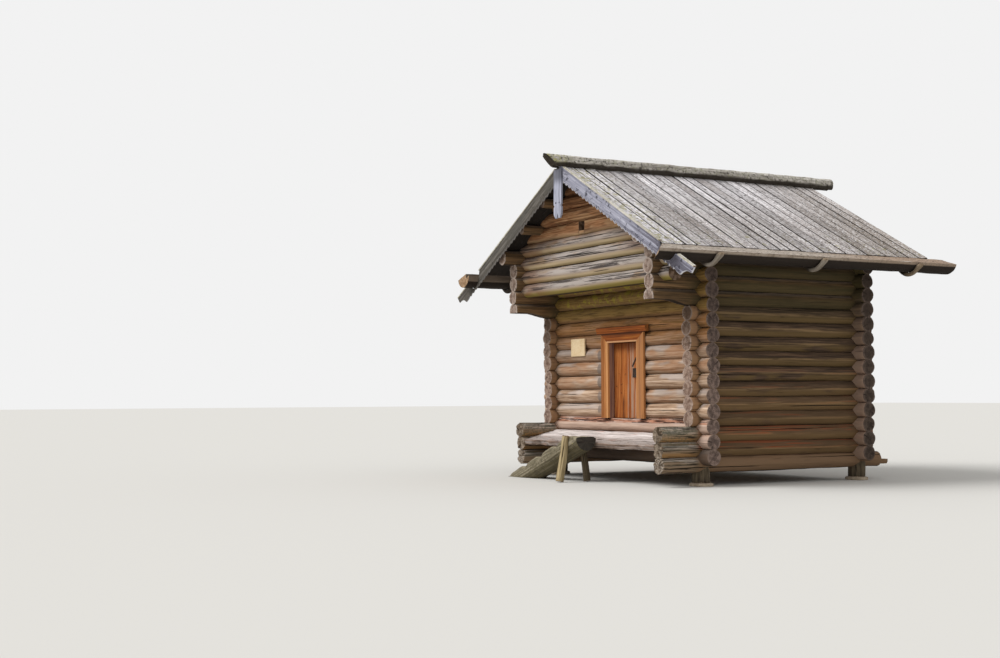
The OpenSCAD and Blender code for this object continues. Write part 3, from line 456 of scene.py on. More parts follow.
# Stair: one log hewn into steps, olive-grey flanks darker lower down, treads paler on their upward faces, dots of
# yellow lichen
stairPine = weatheredWood("pineStairHewn", {
    **pine, "tones": ("#3e382a", "#6a624e", "#9b917c"), "endTones": ("#49443e", "#3f3a35", "#312d28"), "layers": [
        ("#4f4730", 0.7, ("rise", -0.02, -0.14)), ("#a3997f", 0.6, ("facing", 0.6, 0.95)),
        ("#4a4334", 0.6, ("spots", 60, 0.53, 0.60)),
        ("#b8a032", 0.8, ("spots", 45, 0.70, 0.73))],
})
# Stair legs: peeled poles, yellow-grey in front and dark in the shade of the stair
legPine = weatheredWood("pineLegPole", {
    **pine, "tones": ("#6a5a3f", "#9f8d6a", "#c8b68f"), "layers": [
        ("#3a3128", 0.85, ("y", -2.66, -2.60))]})
# Door: old planks oiled by hands, still orange, with grey streaks where the weather got in
doorPine = weatheredWood("pineDoorPlanks", {
    **pine, "fibre": (420, 12), "streak": (1300, 34), "patch": (700, 160), "check": (700, 14),
    "tones": ("#6b3112", "#9e5824", "#bd8046"), "checkFrom": 0.65, "checkColour": "#3a1a0b",
    "crackColour": "#2a1408", "relief": 4.0, "roughness": 0.8,
    "endTones": ("#a9703e", "#8a5528", "#5c3418"), "layers": [
        ("#9c8675", 0.8, ("x", 0.10, 0.16), ("x", 0.42, 0.34), ("streak", 0.46, 0.56)),
        ("#7a3512", 0.6, ("x", 0.0, -0.1), ("streak", 0.52, 0.44)),
        ("#5e2c10", 0.6, ("z", 2.1, 2.32)), ("#2c1309", 0.9, ("spots", 70, 0.67, 0.70)),
        ("#3a1a0a", 0.85, ("z", 1.50, 1.3), ("x", -0.03, 0.0), ("x", 0.08, 0.04), ("streak", 0.46, 0.51))],
})
# Door casing: planed and moulded boards that face away from the rain, so the pine is still orange; the side
# boards are pale along the inner bead and grey at the outer edge
casingLook = {
    **pine, "fibre": (420, 12), "streak": (1200, 30), "patch": (700, 160), "check": (900, 12), "checkFrom": 0.68,
    "checkColour": "#4a2812", "crackColour": "#2a1509", "relief": 4.0, "roughness": 0.8, "toneValue": 0.04,
    "endTones": ("#a9703e", "#8a5528", "#5c3418")}
casingPine = weatheredWood("pineCasingPlaned", {
    **casingLook, "tones": ("#80481f", "#a66a38", "#c18550"), "layers": [
        ("#7d4821", 0.6, ("x", -0.36, -0.40), ("x", -0.5, -0.48)), ("#d69f68", 0.7, ("x", -0.325, -0.315)),
        ("#8f755e", 0.6, ("x", 0.66, 0.68), ("x", 0.79, 0.77), ("streak", 0.40, 0.52)),
        ("#935a30", 0.6, ("x", 0.5, 0.6)), ("#d8a878", 0.6, ("x", 0.613, 0.607), ("x", 0.5, 0.55))],
})
# Head board and cornice: the same planed pine, redder and darker, with shade under each moulding
headPine = weatheredWood("pineCornicePlaned", {
    **casingLook, "tones": ("#5f300f", "#8a481a", "#a96529"), "layers": [
        ("#d0a074", 0.8, ("z", 2.376, 2.364)), ("#2e1206", 0.9, ("z", 2.600, 2.608)),
        ("#3a1c0c", 0.85, ("z", 2.455, 2.490), ("z", 2.512, 2.503))]})
# Stumps: sawn trunks that draw water from the ground, so they are dull and dark, most at the foot
stumpPine = weatheredWood("pineStumpSawn", {
    **pine, "tones": ("#393126", "#564b3b", "#726653"), "checkFrom": 0.72,
    "layers": [("#2a241c", 0.4, ("z", 0.2, 0.06))]})
# Nodes kept from the frame: their grain follows an axis, named by the order of the coordinates.
# Sawn floor and soffit boards never see rain, so they are even: tan inside, and dark brown in the overhang as painted
# shade;
# planed jambs and lintel are pinkish and orange; the sawn pendant is blue-grey, dark where the ridge log shades it.
innerPine = weatheredWood("pineBoardInside", {
    **pine, "grainOrder": (0, 1, 2), "tones": ("#7a6248", "#a38a6c", "#c2aa8c")})
shadedSoffitPine = weatheredWood("pineBoardSoffitShaded", {
    **pine, "grainOrder": (0, 1, 2), "tones": ("#33281a", "#4c3c28", "#66523a")})
postPine = weatheredWood("pineJambPlaned", {
    **pine, "grainOrder": (2, 0, 1), "fibre": (420, 8), "streak": (1200, 28),
    "tones": ("#664c46", "#8f6e60", "#b08d75")})
lintelPine = weatheredWood("pineLintelPlaned", {
    **pine, "grainOrder": (0, 1, 2), "tones": ("#7a4520", "#9c6233", "#b9824d")})
pendantPine = weatheredWood("pinePendantSawn", {
    **pine, "grainOrder": (2, 0, 1), "fibre": (300, 12), "streak": (900, 30), "check": (500, 14),
    "tones": ("#6a6c7a", "#9a9cac", "#c3c5d2"), "checkColour": "#35333a", "checkFrom": 0.60,
    "layers": [("#4a4a50", 0.7, ("z", 4.95, 5.12))]})


mottle = {"fineShare": 0.4, "roughness": 0.65, "bump": 0.6}


# Plain finish: a coarse and a fine noise are mixed by the fine one's share; the mix picks a colour between three
# tones and lifts the surface. Sizes are in mm.
def mottledFinish(name, look):
    material = bpy.data.materials.new(name)
    material.use_nodes = True
    tree = material.node_tree
    tree.nodes.clear()
    place = addNode(tree, "TexCoord").outputs["Object"]
    coarse = addNode(tree, "TexNoise", {"Vector": place, "Scale": 1000 / look["coarse"], "Detail": 5.0,
                                        "Roughness": mottle["roughness"]}).outputs["Fac"]
    fine = addNode(tree, "TexNoise", {"Vector": place, "Scale": 1000 / look["fine"], "Detail": 3.0}).outputs["Fac"]
    blend = addNode(tree, "Mix", {0: mottle["fineShare"], 2: coarse, 3: fine}, data_type="FLOAT").outputs[0]
    colour = addNode(tree, "ValToRGB", {0: blend}, stops=[
        (spot, linearColour(code)) for spot, code in zip(rampPlaces, look["tones"])]).outputs["Color"]
    bump = addNode(tree, "Bump", {"Height": blend, "Strength": mottle["bump"],
                                  "Distance": look["relief"] / 1000}).outputs[0]
    shader = addNode(tree, "BsdfPrincipled", {
        "Base Color": colour, "Roughness": look["roughness"], "Metallic": look["metallic"], "Normal": bump})
    addNode(tree, "OutputMaterial", {"Surface": shader.outputs[0]})
    return material


# Granite from the fields, rounded by ice: warm grey with fine dark grains
stoneFinish = mottledFinish("graniteFieldStone", {
    "coarse": 120, "fine": 14, "tones": ("#7d6f5f", "#a3937e", "#c2b39d"), "relief": 6.0,
    "roughness": 0.9, "metallic": 0.0})
# Iron forged by hand and never painted: dark brown, dull, with rust in patches
ironFinish = mottledFinish("ironForgedRusted", {
    "coarse": 60, "fine": 8, "tones": ("#1d1815", "#332822", "#54392a"), "relief": 2.0,
    "roughness": 0.7, "metallic": 0.6})
# Plywood under varnish: even, yellow and a little glossy
plateFinish = mottledFinish("plywoodVarnished", {
    "coarse": 260, "fine": 30, "tones": ("#cfae7c", "#d9be94", "#e2cba5"), "relief": 0.6,
    "roughness": 0.5, "metallic": 0.0})
print("materials made:", len(bpy.data.materials))


# Random field over a grid: white noise whose waves fade by a bell curve past rowWaves and colWaves, divided by
# its own spread; a field made from waves joins up at its edges
def softNoise(rng, rows, cols, rowWaves, colWaves):
    spectrum = np.fft.fft2(rng.standard_normal((rows, cols)))
    rowFade = (np.fft.fftfreq(rows) * rows / rowWaves)[:, None] ** 2
    colFade = (np.fft.fftfreq(cols) * cols / colWaves)[None, :] ** 2
    field = np.fft.ifft2(spectrum * np.exp(-rowFade - colFade)).real
    return field / max(field.std(), 1e-9)


# Closed surface from rings of points: quads join each ring to the next and each point to its neighbour.
# A "fan" closes an end to its middle; a "wall" closes a hollow outline by joining its outer to its inner half.
# Where the volume, the sum of a . (b x c) over the triangles, comes out negative, every face is turned round.
def closeRings(rings, grain, wear, cap="fan"):
    rows, cols = rings.shape[:2]
    index = np.arange(rows * cols).reshape(rows, cols)
    beside = np.roll(index, -1, axis=1)
    quads = np.stack([index[:-1], beside[:-1], beside[1:], index[1:]], -1).reshape(-1, 4)
    points, grain, wear = (a.reshape(-1, a.shape[-1]) for a in (rings, grain, wear))
    tris = np.zeros((0, 3), int)
    if cap == "fan":
        count = rows * cols
        ends = [index[0], index[-1]]
        points, grain, wear = (np.vstack([a, [a[e].mean(0) for e in ends]]) for a in (points, grain, wear))
        tris = np.vstack([np.stack([beside[0], index[0], np.full(cols, count)], -1),
                          np.stack([index[-1], beside[-1], np.full(cols, count + 1)], -1)])
    else:
        k = np.arange(cols // 2 - 1)
        strip = [np.stack([row[k], row[k + 1], row[cols - 2 - k], row[cols - 1 - k]], -1)
                 for row in (index[0], index[-1])]
        quads = np.vstack([quads, strip[0][:, ::-1], strip[1]])
    corners = np.vstack([quads[:, [0, 1, 2]], quads[:, [0, 2, 3]], tris])
    a, b, c = (points[corners[:, i]] for i in range(3))
    if np.einsum("ij,ij->", a, np.cross(b, c)) < 0:
        quads, tris = quads[:, ::-1], tris[:, ::-1]
    return {"points": points, "quads": quads, "tris": tris, "grain": grain, "wear": wear}


# Mirror image in the plane x = 0 for the left side, its faces turned back outwards
def mirrored(surface, s):
    if s < 0:
        surface["points"][:, 0] *= -1
        surface["quads"], surface["tris"] = surface["quads"][:, ::-1], surface["tris"][:, ::-1]
    return surface


# One piece from closed surfaces: their arrays are joined and put into a mesh at the origin, smooth but for
# edges that bend more than sharp degrees
def makePiece(name, surfaces, material, nodes, body="building", sharp=38):
    base = np.cumsum([0] + [len(s["points"]) for s in surfaces])
    points, grain, wear = (np.vstack([s[k] for s in surfaces]) for k in ("points", "grain", "wear"))
    quads = np.vstack([s["quads"] + b for s, b in zip(surfaces, base)])
    tris = np.vstack([s["tris"] + b for s, b in zip(surfaces, base)])
    loops = np.concatenate([quads.ravel(), tris.ravel()]).astype(np.int32)
    sizes = np.concatenate([np.full(len(quads), 4), np.full(len(tris), 3)])
    mesh = bpy.data.meshes.new(name)
    mesh.vertices.add(len(points))
    mesh.vertices.foreach_set("co", points.astype(np.float32).ravel())
    mesh.loops.add(len(loops))
    mesh.loops.foreach_set("vertex_index", loops)
    mesh.polygons.add(len(sizes))
    mesh.polygons.foreach_set("loop_start", (np.cumsum(sizes) - sizes).astype(np.int32))
    mesh.update(calc_edges=True)
    for key, values in (("grain", grain), ("wear", wear)):
        attribute = mesh.attributes.new(key, "FLOAT_VECTOR", "POINT")
        attribute.data.foreach_set("vector", values.astype(np.float32).ravel())
    mesh.polygons.foreach_set("use_smooth", np.ones(len(sizes), bool))
    mesh.set_sharp_from_angle(angle=math.radians(sharp))
    mesh.materials.append(material)
    piece = bpy.data.objects.new(name, mesh)
    bpy.context.scene.collection.objects.link(piece)
    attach(piece, body)
    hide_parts(*nodes)
    return piece


# Marks of a surface's points: tone of the whole log, end grain and dark crack, each from 0 to 1
def wearMarks(shape, tone, end=0.0, crack=0.0):
    return np.stack([np.full(shape, tone, float), end + np.zeros(shape), crack + np.zeros(shape)], -1)


# Places of the rings along a piece: the spots between, and at each end rings that shrink to the middle by shares
def ringPlaces(first, spots, last, shares):
    places = np.concatenate([np.full(len(shares), first), spots, np.full(len(shares), last)])
    return places, np.concatenate([shares, np.ones(len(spots)), shares[::-1]])


# A vector divided by its own length
def unit(vector):
    vector = np.array(vector, float)
    return vector / np.linalg.norm(vector)


beyond = 9.0  # metres, past any point of the building
logShape = {"bevel": 0.010, "endShares": (0.28, 0.55, 0.8, 0.962), "turning": 0.035, "fineRough": 0.0012,
            "crackFade": 0.05}


# Log: a circle carried along a line. Its radius is the log's radius, tapered, plus soft noise, less a narrow
# bell-shaped cut along each drying crack. The first and last rings shrink to the middle for the ends.
# ends(points) gives how far along each line of the log starts and stops. A clip holds the heights between two
# places along the log over its low(places) and under its high. The bow is soft noise times a half sine.
def makeLog(rng, start, end, radius, tone=0.3, cracks=(), taper=0.03, rough=0.0035, endRough=(0.004, 0.004),
            ends=None, clips=(), step=0.085, cols=36, bow=0.004):
    start, end = np.array(start, float), np.array(end, float)
    along = unit(end - start)
    length = np.linalg.norm(end - start)
    side = unit(np.cross((0, 0, 1), along)) if abs(along[2]) < 0.9 else unit(np.cross((0, 1, 0), along))
    up = np.cross(along, side)
    bevel = logShape["bevel"]
    main = int(np.argmax(abs(along)))
    spots = np.linspace(bevel, length - bevel, max(6, int(length / step)))
    cuts = [abs(limit - start[main]) + shift for clip in clips for limit in clip["span"] for shift in (-0.001, 0.001)]
    spots = np.sort(np.concatenate([spots, [c for c in cuts if bevel < c < length - bevel]]))
    travel, share = ringPlaces(0, spots, length, np.array(logShape["endShares"]))
    rows, endRows = len(travel), len(logShape["endShares"]) + 1
    angles = np.linspace(0, 2 * np.pi, cols, endpoint=False)
    extra = [c["angle"] + k * c["width"] for c in cracks for k in (-1.6, -0.6, 0, 0.6, 1.6)]
    angles = np.sort(np.concatenate([angles, np.mod(extra, 2 * np.pi)]))
    cols = len(angles)
    turning = logShape["turning"] * softNoise(rng, rows, 1, 2, 1)
    field = radius * (1 + taper * (0.5 - travel / length))[:, None] * np.ones(cols)
    field = field + rough * softNoise(rng, rows, cols, rows / 9, 4)
    field = field + logShape["fineRough"] * softNoise(rng, rows, cols, rows / 4, 14)
    crack = np.zeros((rows, cols))
    t = travel / length
    for c in cracks:
        away = np.abs(np.mod(angles - c["angle"] + np.pi, 2 * np.pi) - np.pi)
        bell = np.exp(-(away / c["width"]) ** 2)[None, :]
        first, last = c["span"]
        fade = logShape["crackFade"]
        window = np.clip((t - first) / fade, 0, 1) * np.clip((last - t) / fade, 0, 1)
        window = window * (0.75 + 0.25 * np.clip(softNoise(rng, rows, 1, 8, 1)[:, 0], -1, 1))
        field = field - c["depth"] * bell * window[:, None]
        crack = np.maximum(crack, (bell > 0.5) * np.minimum(1, window * 1.3)[:, None])
    turn = angles[None, :] + turning
    across = share[:, None] * field * np.cos(turn)
    upward = share[:, None] * field * np.sin(turn)
    run = travel[:, None] * np.ones(cols)
    if ends is not None:
        low, high = ends(start + up * upward[..., None] + side * across[..., None])
        run = low + (high - low) * t[:, None]
    for endSlice, sign, amount in ((slice(0, endRows), 1, endRough[0]), (slice(-endRows, None), -1, endRough[1])):
        run[endSlice] += sign * amount * np.abs(softNoise(rng, endRows, cols, 1.2, 9))
    sway = bow * softNoise(rng, rows, 2, 1.6, 2) * np.sin(np.pi * t)[:, None]
    rings = (start + along * run[..., None] + side * (across + sway[:, :1])[..., None]
             + up * (upward + sway[:, 1:])[..., None])
    for clip in clips:
        places = rings[..., main]
        inside = (places > clip["span"][0]) & (places < clip["span"][1])
        low = clip["low"](places) if "low" in clip else -beyond
        held = np.clip(rings[..., 2], low, clip.get("high", beyond))
        rings[..., 2] = np.where(inside, held, rings[..., 2])
    end = (share < 1)[:, None] * np.ones(cols)
    return closeRings(rings, np.stack([run, across, upward], -1), wearMarks(end.shape, tone, end, crack * (1 - end)))


# Bar or board: an outline in two coordinates carried along a straight line, with soft noise pushing each
# point out from the outline, a bend that is a half sine, and a cup that grows with the square of the width.
# dark marks outline points that show as a dark joint; reshape(travel, shape) changes the outline on the way, and
# ends(across, upward) gives where each line of the bar starts and stops.
def makeBar(rng, start, along, side, length, outline, tone=0.3, rough=0.001, bend=0.0, cup=0.0, step=0.12,
            ends=None, endRough=0.002, cap="fan", reshape=None, stations=(), dark=0.0):
    start, along, side = np.array(start, float), unit(along), unit(side)
    up = np.cross(along, side)
    outline = np.array(outline, float)
    edge = min(0.004, length / 8)
    spots = np.sort(np.concatenate([np.linspace(edge, length - edge, max(3, int(length / step))), stations]))
    travel, share = ringPlaces(0, spots, length, np.array([0.5, 0.97] if cap == "fan" else [1.0]))
    rows, cols = len(travel), len(outline)
    tangent = np.roll(outline, -1, 0) - np.roll(outline, 1, 0)
    outward = np.stack([tangent[:, 1], -tangent[:, 0]], -1) / np.maximum(np.linalg.norm(tangent, axis=1), 1e-9)[:, None]
    push = rough * softNoise(rng, rows, cols, rows / 5, cols / 4)
    middle = outline.mean(0) if cap == "fan" else np.zeros(2)
    shape = middle + (outline - middle)[None] * share[:, None, None] + outward[None] * push[..., None]
    if reshape is not None:
        shape = reshape(travel, shape)
    across, upward = shape[..., 0], shape[..., 1]
    t = travel / length
    half = np.abs(outline[:, 0]).max()
    upward = upward + bend * np.sin(np.pi * t)[:, None] + cup * ((across / half) ** 2 - 0.5)
    run = travel[:, None] * np.ones(cols)
    if ends is not None:
        low, high = ends(across, upward)
        run = low + (high - low) * t[:, None]
    wobble = endRough * np.abs(softNoise(rng, 2, cols, 2, cols / 6))
    run[:2] += wobble
    run[-2:] -= wobble
    rings = start + along * run[..., None] + side * across[..., None] + up * upward[..., None]
    endMark = 0.9 * ((t <= 0) | (t >= 1))[:, None]
    return closeRings(rings, np.stack([run, across, upward], -1), wearMarks((rows, cols), tone, endMark, dark), cap)


# Outline of a board: a rectangle with eased corners, its top set at given places across and heights
def boardOutline(width, thick, ease=0.003, places=None, heights=None, underPoints=4):
    half = width / 2
    places = np.linspace(-half + ease, half - ease, 5) if places is None else np.array(places)
    heights = np.zeros(len(places)) if heights is None else np.array(heights)
    top = np.stack([places, thick / 2 + heights], -1)
    under = np.stack([np.linspace(half - ease, -half + ease, underPoints), np.full(underPoints, -thick / 2)], -1)
    right = [[half, thick / 2 - ease], [half, -thick / 2 + ease]]
    left = [[-half, -thick / 2 + ease], [-half, thick / 2 - ease]]
    return np.vstack([top, right, under, left])


# Crib: sizes in metres, rows counted from the ground; the places under it come from the frame
crib = {"logD": 0.26, "course": 0.24, "logEnd": 0.28, "crossEnd": 0.35, "pitch": 28.6, "plateRow": 15,
        "gableRow": 12, "porchRows": 3, "bracketRow": 11, "doorRows": 5, "bracketCut": 0.09, "bracketSlant": 0.32,
        "tailT": 0.08, "ventRow": 16, "ventSize": 0.17, "ventFlat": 0.08, "ventEase": (0.2, 0.25),
        "endJitter": 0.03, "girth": (0.985, 1.015), "taper": (-0.06, 0.06), "sideCrack": 0.02,
        "gableCrack": (0.018, 0.05), "rottedEnds": (0.018, 0.005)}
# Drying cracks: how far their angles lie from outward and scatter, how widths and depths vary, and the parts of
# the log's length where they start and that they run over
drying = {"angle": (0.35, 0.45), "widths": (0.7, 1.2), "depths": (0.6, 1.2), "starts": (-0.1, 0.6),
          "runs": (0.2, 0.6)}
sides = ((1, "right"), (-1, "left"))
logR = crib["logD"] / 2
course = crib["course"]
pitch = math.radians(crib["pitch"])
slope = math.tan(pitch)
downSlope = np.array((math.cos(pitch), 0, -math.sin(pitch)))
offSlope = np.array((math.sin(pitch), 0, math.cos(pitch)))
alongEave = np.cross(offSlope, downSlope)


# Middle of a node's box in y
def middleY(node):
    low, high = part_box(node)
    return (low.y + high.y) / 2


sillRow = crib["porchRows"] - 1
wallLow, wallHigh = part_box("front_wall_under_door")
frontY = middleY("front_wall_under_door")
firstZ = wallLow.z + logR
halfW = wallHigh.x - crib["crossEnd"]
rearY, gableY = middleY("rear_wall"), middleY("front_gable")
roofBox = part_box("right_roof_boards")
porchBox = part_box("right_porch_logs")
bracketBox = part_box("right_bracket_logs")
plateTop = firstZ + (crib["plateRow"] - 0.5) * course + logR / math.cos(pitch)
doorPost = [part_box("door_post_left"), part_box("door_post_right")]
holeLeft, holeRight = doorPost[0][0].x, doorPost[1][1].x
sillZ, headZ = doorPost[0][0].z, doorPost[0][1].z
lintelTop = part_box("door_lintel")[1].z


# Height of the axis of cross log i: one course for each row
def frontZ(i):
    return firstZ + i * course


# Height of the axis of side log j: half a course under the cross log of the same row
def sideZ(j):
    return firstZ + (j - 0.5) * course


# Drying cracks for one log: the bell curve of their angles is centred a little above the outward side
def pickCracks(rng, outward, count, depth=0.014, width=0.045):
    tilt = 1 if outward < 1 else -1
    found = []
    for _ in range(count):
        first = rng.uniform(*drying["starts"])
        found.append({"angle": outward + tilt * rng.normal(*drying["angle"]),
                      "width": width * rng.uniform(*drying["widths"]), "depth": depth * rng.uniform(*drying["depths"]),
                      "span": (first, first + rng.uniform(*drying["runs"]))})
    return found


# How far a gable log runs each way before it meets the slope of the roof: half the width of the crib, less the
# height over the plate divided by the slope
def underRoof(points):
    limit = np.clip(halfW - (points[..., 2] - plateTop) / slope - 0.001, 0.03, None)
    cut = np.minimum(limit, halfW + crib["crossEnd"])
    return -cut - points[..., 0], cut - points[..., 0]


# One log of the crib, its girth and taper varied a little
def cribLog(rng, start, end, cracks, **shape):
    return makeLog(rng, start, end, logR * rng.uniform(*crib["girth"]), rng.uniform(0, 1),
                   taper=rng.uniform(*crib["taper"]), cracks=cracks, **shape)


# Cross log i of the wall at y: from one crossing to the other plus the ends, or from x0 to x1
def crossLog(rng, y, i, outward, x0=None, x1=None, cracks=None, **shape):
    reach = halfW + crib["crossEnd"]
    jitter = rng.uniform(0, crib["endJitter"], 2)
    x0 = -reach + jitter[0] if x0 is None else x0
    x1 = reach - jitter[1] if x1 is None else x1
    cracks = pickCracks(rng, outward, int(rng.integers(0, 2))) if cracks is None else cracks
    return cribLog(rng, (x0, y, frontZ(i)), (x1, y, frontZ(i)), cracks, **shape)


# Side log j on side s: it ends past the crossings, under the porch, under the gable or, as the plate, at the roof
def sideLog(rng, s, j, cracks=0, **shape):
    front = (porchBox[0].y if j < crib["porchRows"] else frontY - crib["logEnd"] if j < crib["bracketRow"]
             else gableY - crib["logEnd"] if j < crib["plateRow"] else bracketBox[0].y)
    rear = (porchBox[1].y if j == 0 else rearY + crib["logEnd"] if j < crib["plateRow"] else bracketBox[1].y)
    jitter = rng.uniform(0, crib["endJitter"], 2)
    cracks = pickCracks(rng, math.pi if s > 0 else 0.0, cracks, crib["sideCrack"])
    return cribLog(rng, (s * halfW, front + jitter[0], sideZ(j)), (s * halfW, rear - jitter[1], sideZ(j)), cracks,
                   **shape)


# Gable log beside the vent: it stops at the hole on one side and under the roof on the other
def ventLog(rng, s, edge, **shape):
    # the end at the vent is upright, the other one lies under the slope
    def stops(points):
        low, high = underRoof(points)
        return (low, edge - points[..., 0]) if s < 0 else (0 * low, high)
    return crossLog(rng, gableY, crib["ventRow"], math.pi, ends=stops, **shape)


# Walls: rows of logs at their heights. Rows at the doorway are cut flat at the sill and the lintel, the lowest
# bracket is hewn to a slant that rises towards its end, and the tail of the lowest side log is hewn to a tenon.
# Round the vent the log's face is a plane that runs out into the round on both sides.
def buildWalls():
    rng = np.random.default_rng(4)
    tailStart = (porchBox[1].y + rearY + crib["logEnd"]) / 2
    tail = [{"span": (tailStart, beyond), "high": sideZ(0), "low": lambda y: sideZ(0) - crib["tailT"] + 0 * y}]
    corner = frontY - crib["logEnd"]
    bracketLow = sideZ(crib["bracketRow"]) - logR
    hewn = [{"span": (-beyond, corner), "low": lambda y: bracketLow + crib["bracketCut"] * np.clip(
        (corner - y) / crib["bracketSlant"], 0, 1)}]
    for s, sideName in sides:
        porch = [sideLog(rng, s, j, cracks=2, endRough=crib["rottedEnds"], clips=tail if j == 0 else ())
                 for j in range(crib["porchRows"])]
        makePiece(sideName + "_porch_round_logs", porch, porchPine, [sideName + "_porch_logs"])
        wall = [sideLog(rng, s, j, cracks=int(rng.integers(0, 2)))
                for j in range(crib["porchRows"], crib["bracketRow"])]
        makePiece(sideName + "_wall_round_logs", wall, shadePine, [sideName + "_wall"])
        bracket = [sideLog(rng, s, j, clips=hewn if j == crib["bracketRow"] else ())
                   for j in range(crib["bracketRow"], crib["plateRow"] + 1)]
        makePiece(sideName + "_bracket_round_logs", bracket, bracketPine, [sideName + "_bracket_logs"])
    front, rear = math.pi, 0.0  # the angle round a cross log that faces outwards
    hole = (holeLeft, holeRight)
    doorRows = range(sillRow + 1, sillRow + crib["doorRows"] + 1)
    sillCut = [{"span": hole, "high": sillZ}]
    headCut = [{"span": hole, "low": lambda x: lintelTop + 0 * x}]
    for part, rows, cuts, limits in (
            ("under_door", range(sillRow + 1), {sillRow: sillCut}, {}),
            ("left", doorRows, {}, {"x1": holeLeft}),
            ("right", doorRows, {}, {"x0": holeRight}),
            ("over_door", range(doorRows[-1] + 1, crib["gableRow"] + 1), {doorRows[-1] + 1: headCut}, {})):
        logs = [crossLog(rng, frontY, i, front, clips=cuts.get(i, ()), **limits) for i in rows]
        makePiece("front_round_logs_" + part, logs, frontPine, ["front_wall_" + part])
    logs = [crossLog(rng, rearY, i, rear) for i in range(crib["gableRow"] + 1)]
    makePiece("rear_round_logs", logs, rearPine, ["rear_wall"])
    topRow = crib["gableRow"] + int((plateTop + halfW * slope - logR - frontZ(crib["gableRow"])) / course)
    logs = [crossLog(rng, rearY, i, rear, ends=underRoof) for i in range(crib["gableRow"] + 1, topRow + 1)]
    makePiece("rear_gable_round_logs", logs, rearPine, ["rear_gable"])
    gable = []
    vent, ventRow = crib["ventSize"], crib["ventRow"]
    ventLow = [{"span": (-1, 1), "high": frontZ(ventRow) + course / 2 - vent}]
    flatHalf, flatEase = crib["ventEase"]
    for i in range(crib["gableRow"], topRow + 1):
        if i == ventRow:
            parts = [ventLog(rng, -1, -vent, x1=-vent, cracks=()), ventLog(rng, 1, 0.0, x0=0.0, cracks=()),
                     crossLog(rng, gableY, i, front, x0=-vent - 0.02, x1=0.02, cracks=(), clips=ventLow)]
            for part in parts:
                away = np.clip((np.abs(part["points"][:, 0] + vent / 2) - flatHalf) / flatEase, 0, 1)
                flat = crib["ventFlat"] + (logR - crib["ventFlat"]) * away
                part["points"][:, 1] = np.maximum(part["points"][:, 1], gableY - flat)
            gable.extend(parts)
        else:
            cracks = pickCracks(rng, front, 2, *crib["gableCrack"]) if i < ventRow else ()
            gable.append(crossLog(rng, gableY, i, front, cracks=cracks, ends=underRoof))
    makePiece("front_gable_round_logs", gable, gablePine, ["front_gable"])


buildWalls()
print("log walls made")

# Stumps and stones: sizes in metres; a stone's heights and shares are parts of its own box
stump = {"radius": 0.140, "rough": 0.006, "sunk": 0.004, "underLog": 0.02, "crackDepth": 0.016, "crackWidth": 0.05}
stone = {"cols": 30, "rough": 0.05, "fill": 0.97, "heights": (0.0, 0.0, 0.12, 0.45, 0.8, 0.97, 1.0, 1.0),
         "shares": (0.6, 0.94, 0.99, 1.0, 0.97, 0.88, 0.6, 0.3)}


# Stump: an upright log from just inside its stone up into the notch of the lowest side log
def buildFeet():
    rng = np.random.default_rng(11)
    for name in ("front_right", "front_left", "rear_right", "rear_left"):
        low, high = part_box("stump_" + name)
        x, y = (low.x + high.x) / 2, (low.y + high.y) / 2
        cracks = pickCracks(rng, -1.2, 3, stump["crackDepth"], stump["crackWidth"])
        trunk = makeLog(rng, (x, y, low.z - stump["sunk"]), (x, y, sideZ(0) - stump["underLog"]), stump["radius"], 0.4,
                        cracks, rough=stump["rough"], step=0.05, bow=0.0)
        makePiece("sawn_stump_" + name, [trunk], stumpPine, ["stump_" + name])
        rock = makeStone(rng, *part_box("stone_" + name))
        makePiece("flat_stone_" + name, [rock], stoneFinish, ["stone_" + name])


# Stone: a ring whose radius is an oval plus soft noise, carried up through rounded shoulders
def makeStone(rng, low, high):
    turn = np.linspace(0, 2 * np.pi, stone["cols"], endpoint=False)
    heights, shares = np.array(stone["heights"]), np.array(stone["shares"])
    noise = np.clip(1 + stone["rough"] * softNoise(rng, len(heights), stone["cols"], 1.2, 5), 0.85, 1.0)
    radius = shares[:, None] * noise * stone["fill"]
    x = (low.x + high.x) / 2 + radius * (high.x - low.x) / 2 * np.cos(turn)
    y = (low.y + high.y) / 2 + radius * (high.y - low.y) / 2 * np.sin(turn)
    z = low.z + heights[:, None] * (high.z - low.z) * np.ones(len(turn))
    rings = np.stack([x, y, z], -1)
    return closeRings(rings, rings.copy(), wearMarks(z.shape, 0.0))


buildFeet()
print("stumps and stones made")

# Roof: sizes in metres
roof = {"pace": 0.22, "waver": 0.03, "gap": (0.018, 0.036), "openShare": 0.65, "tight": 0.012, "thick": 0.027,
        "openShade": 0.95, "tightShade": 0.85, "fit": 0.0003, "grooveIn": 0.05, "grooveHalf": 0.008,
        "grooveDepth": 0.005, "grooveShade": 0.4, "ease": 0.002, "sink": 0.0035, "shortBy": (0.004, 0.03),
        "lowerGap": 0.004, "lowerSink": 0.004, "lowerEndIn": 0.02, "purlinR": 0.085, "purlinEndIn": 0.01}
# Points of an upper board's outline: in its grooves and along its two edges
boardPoints = {"grooves": [3, 8], "left": [0, 18, 19], "right": [11, 12, 13]}


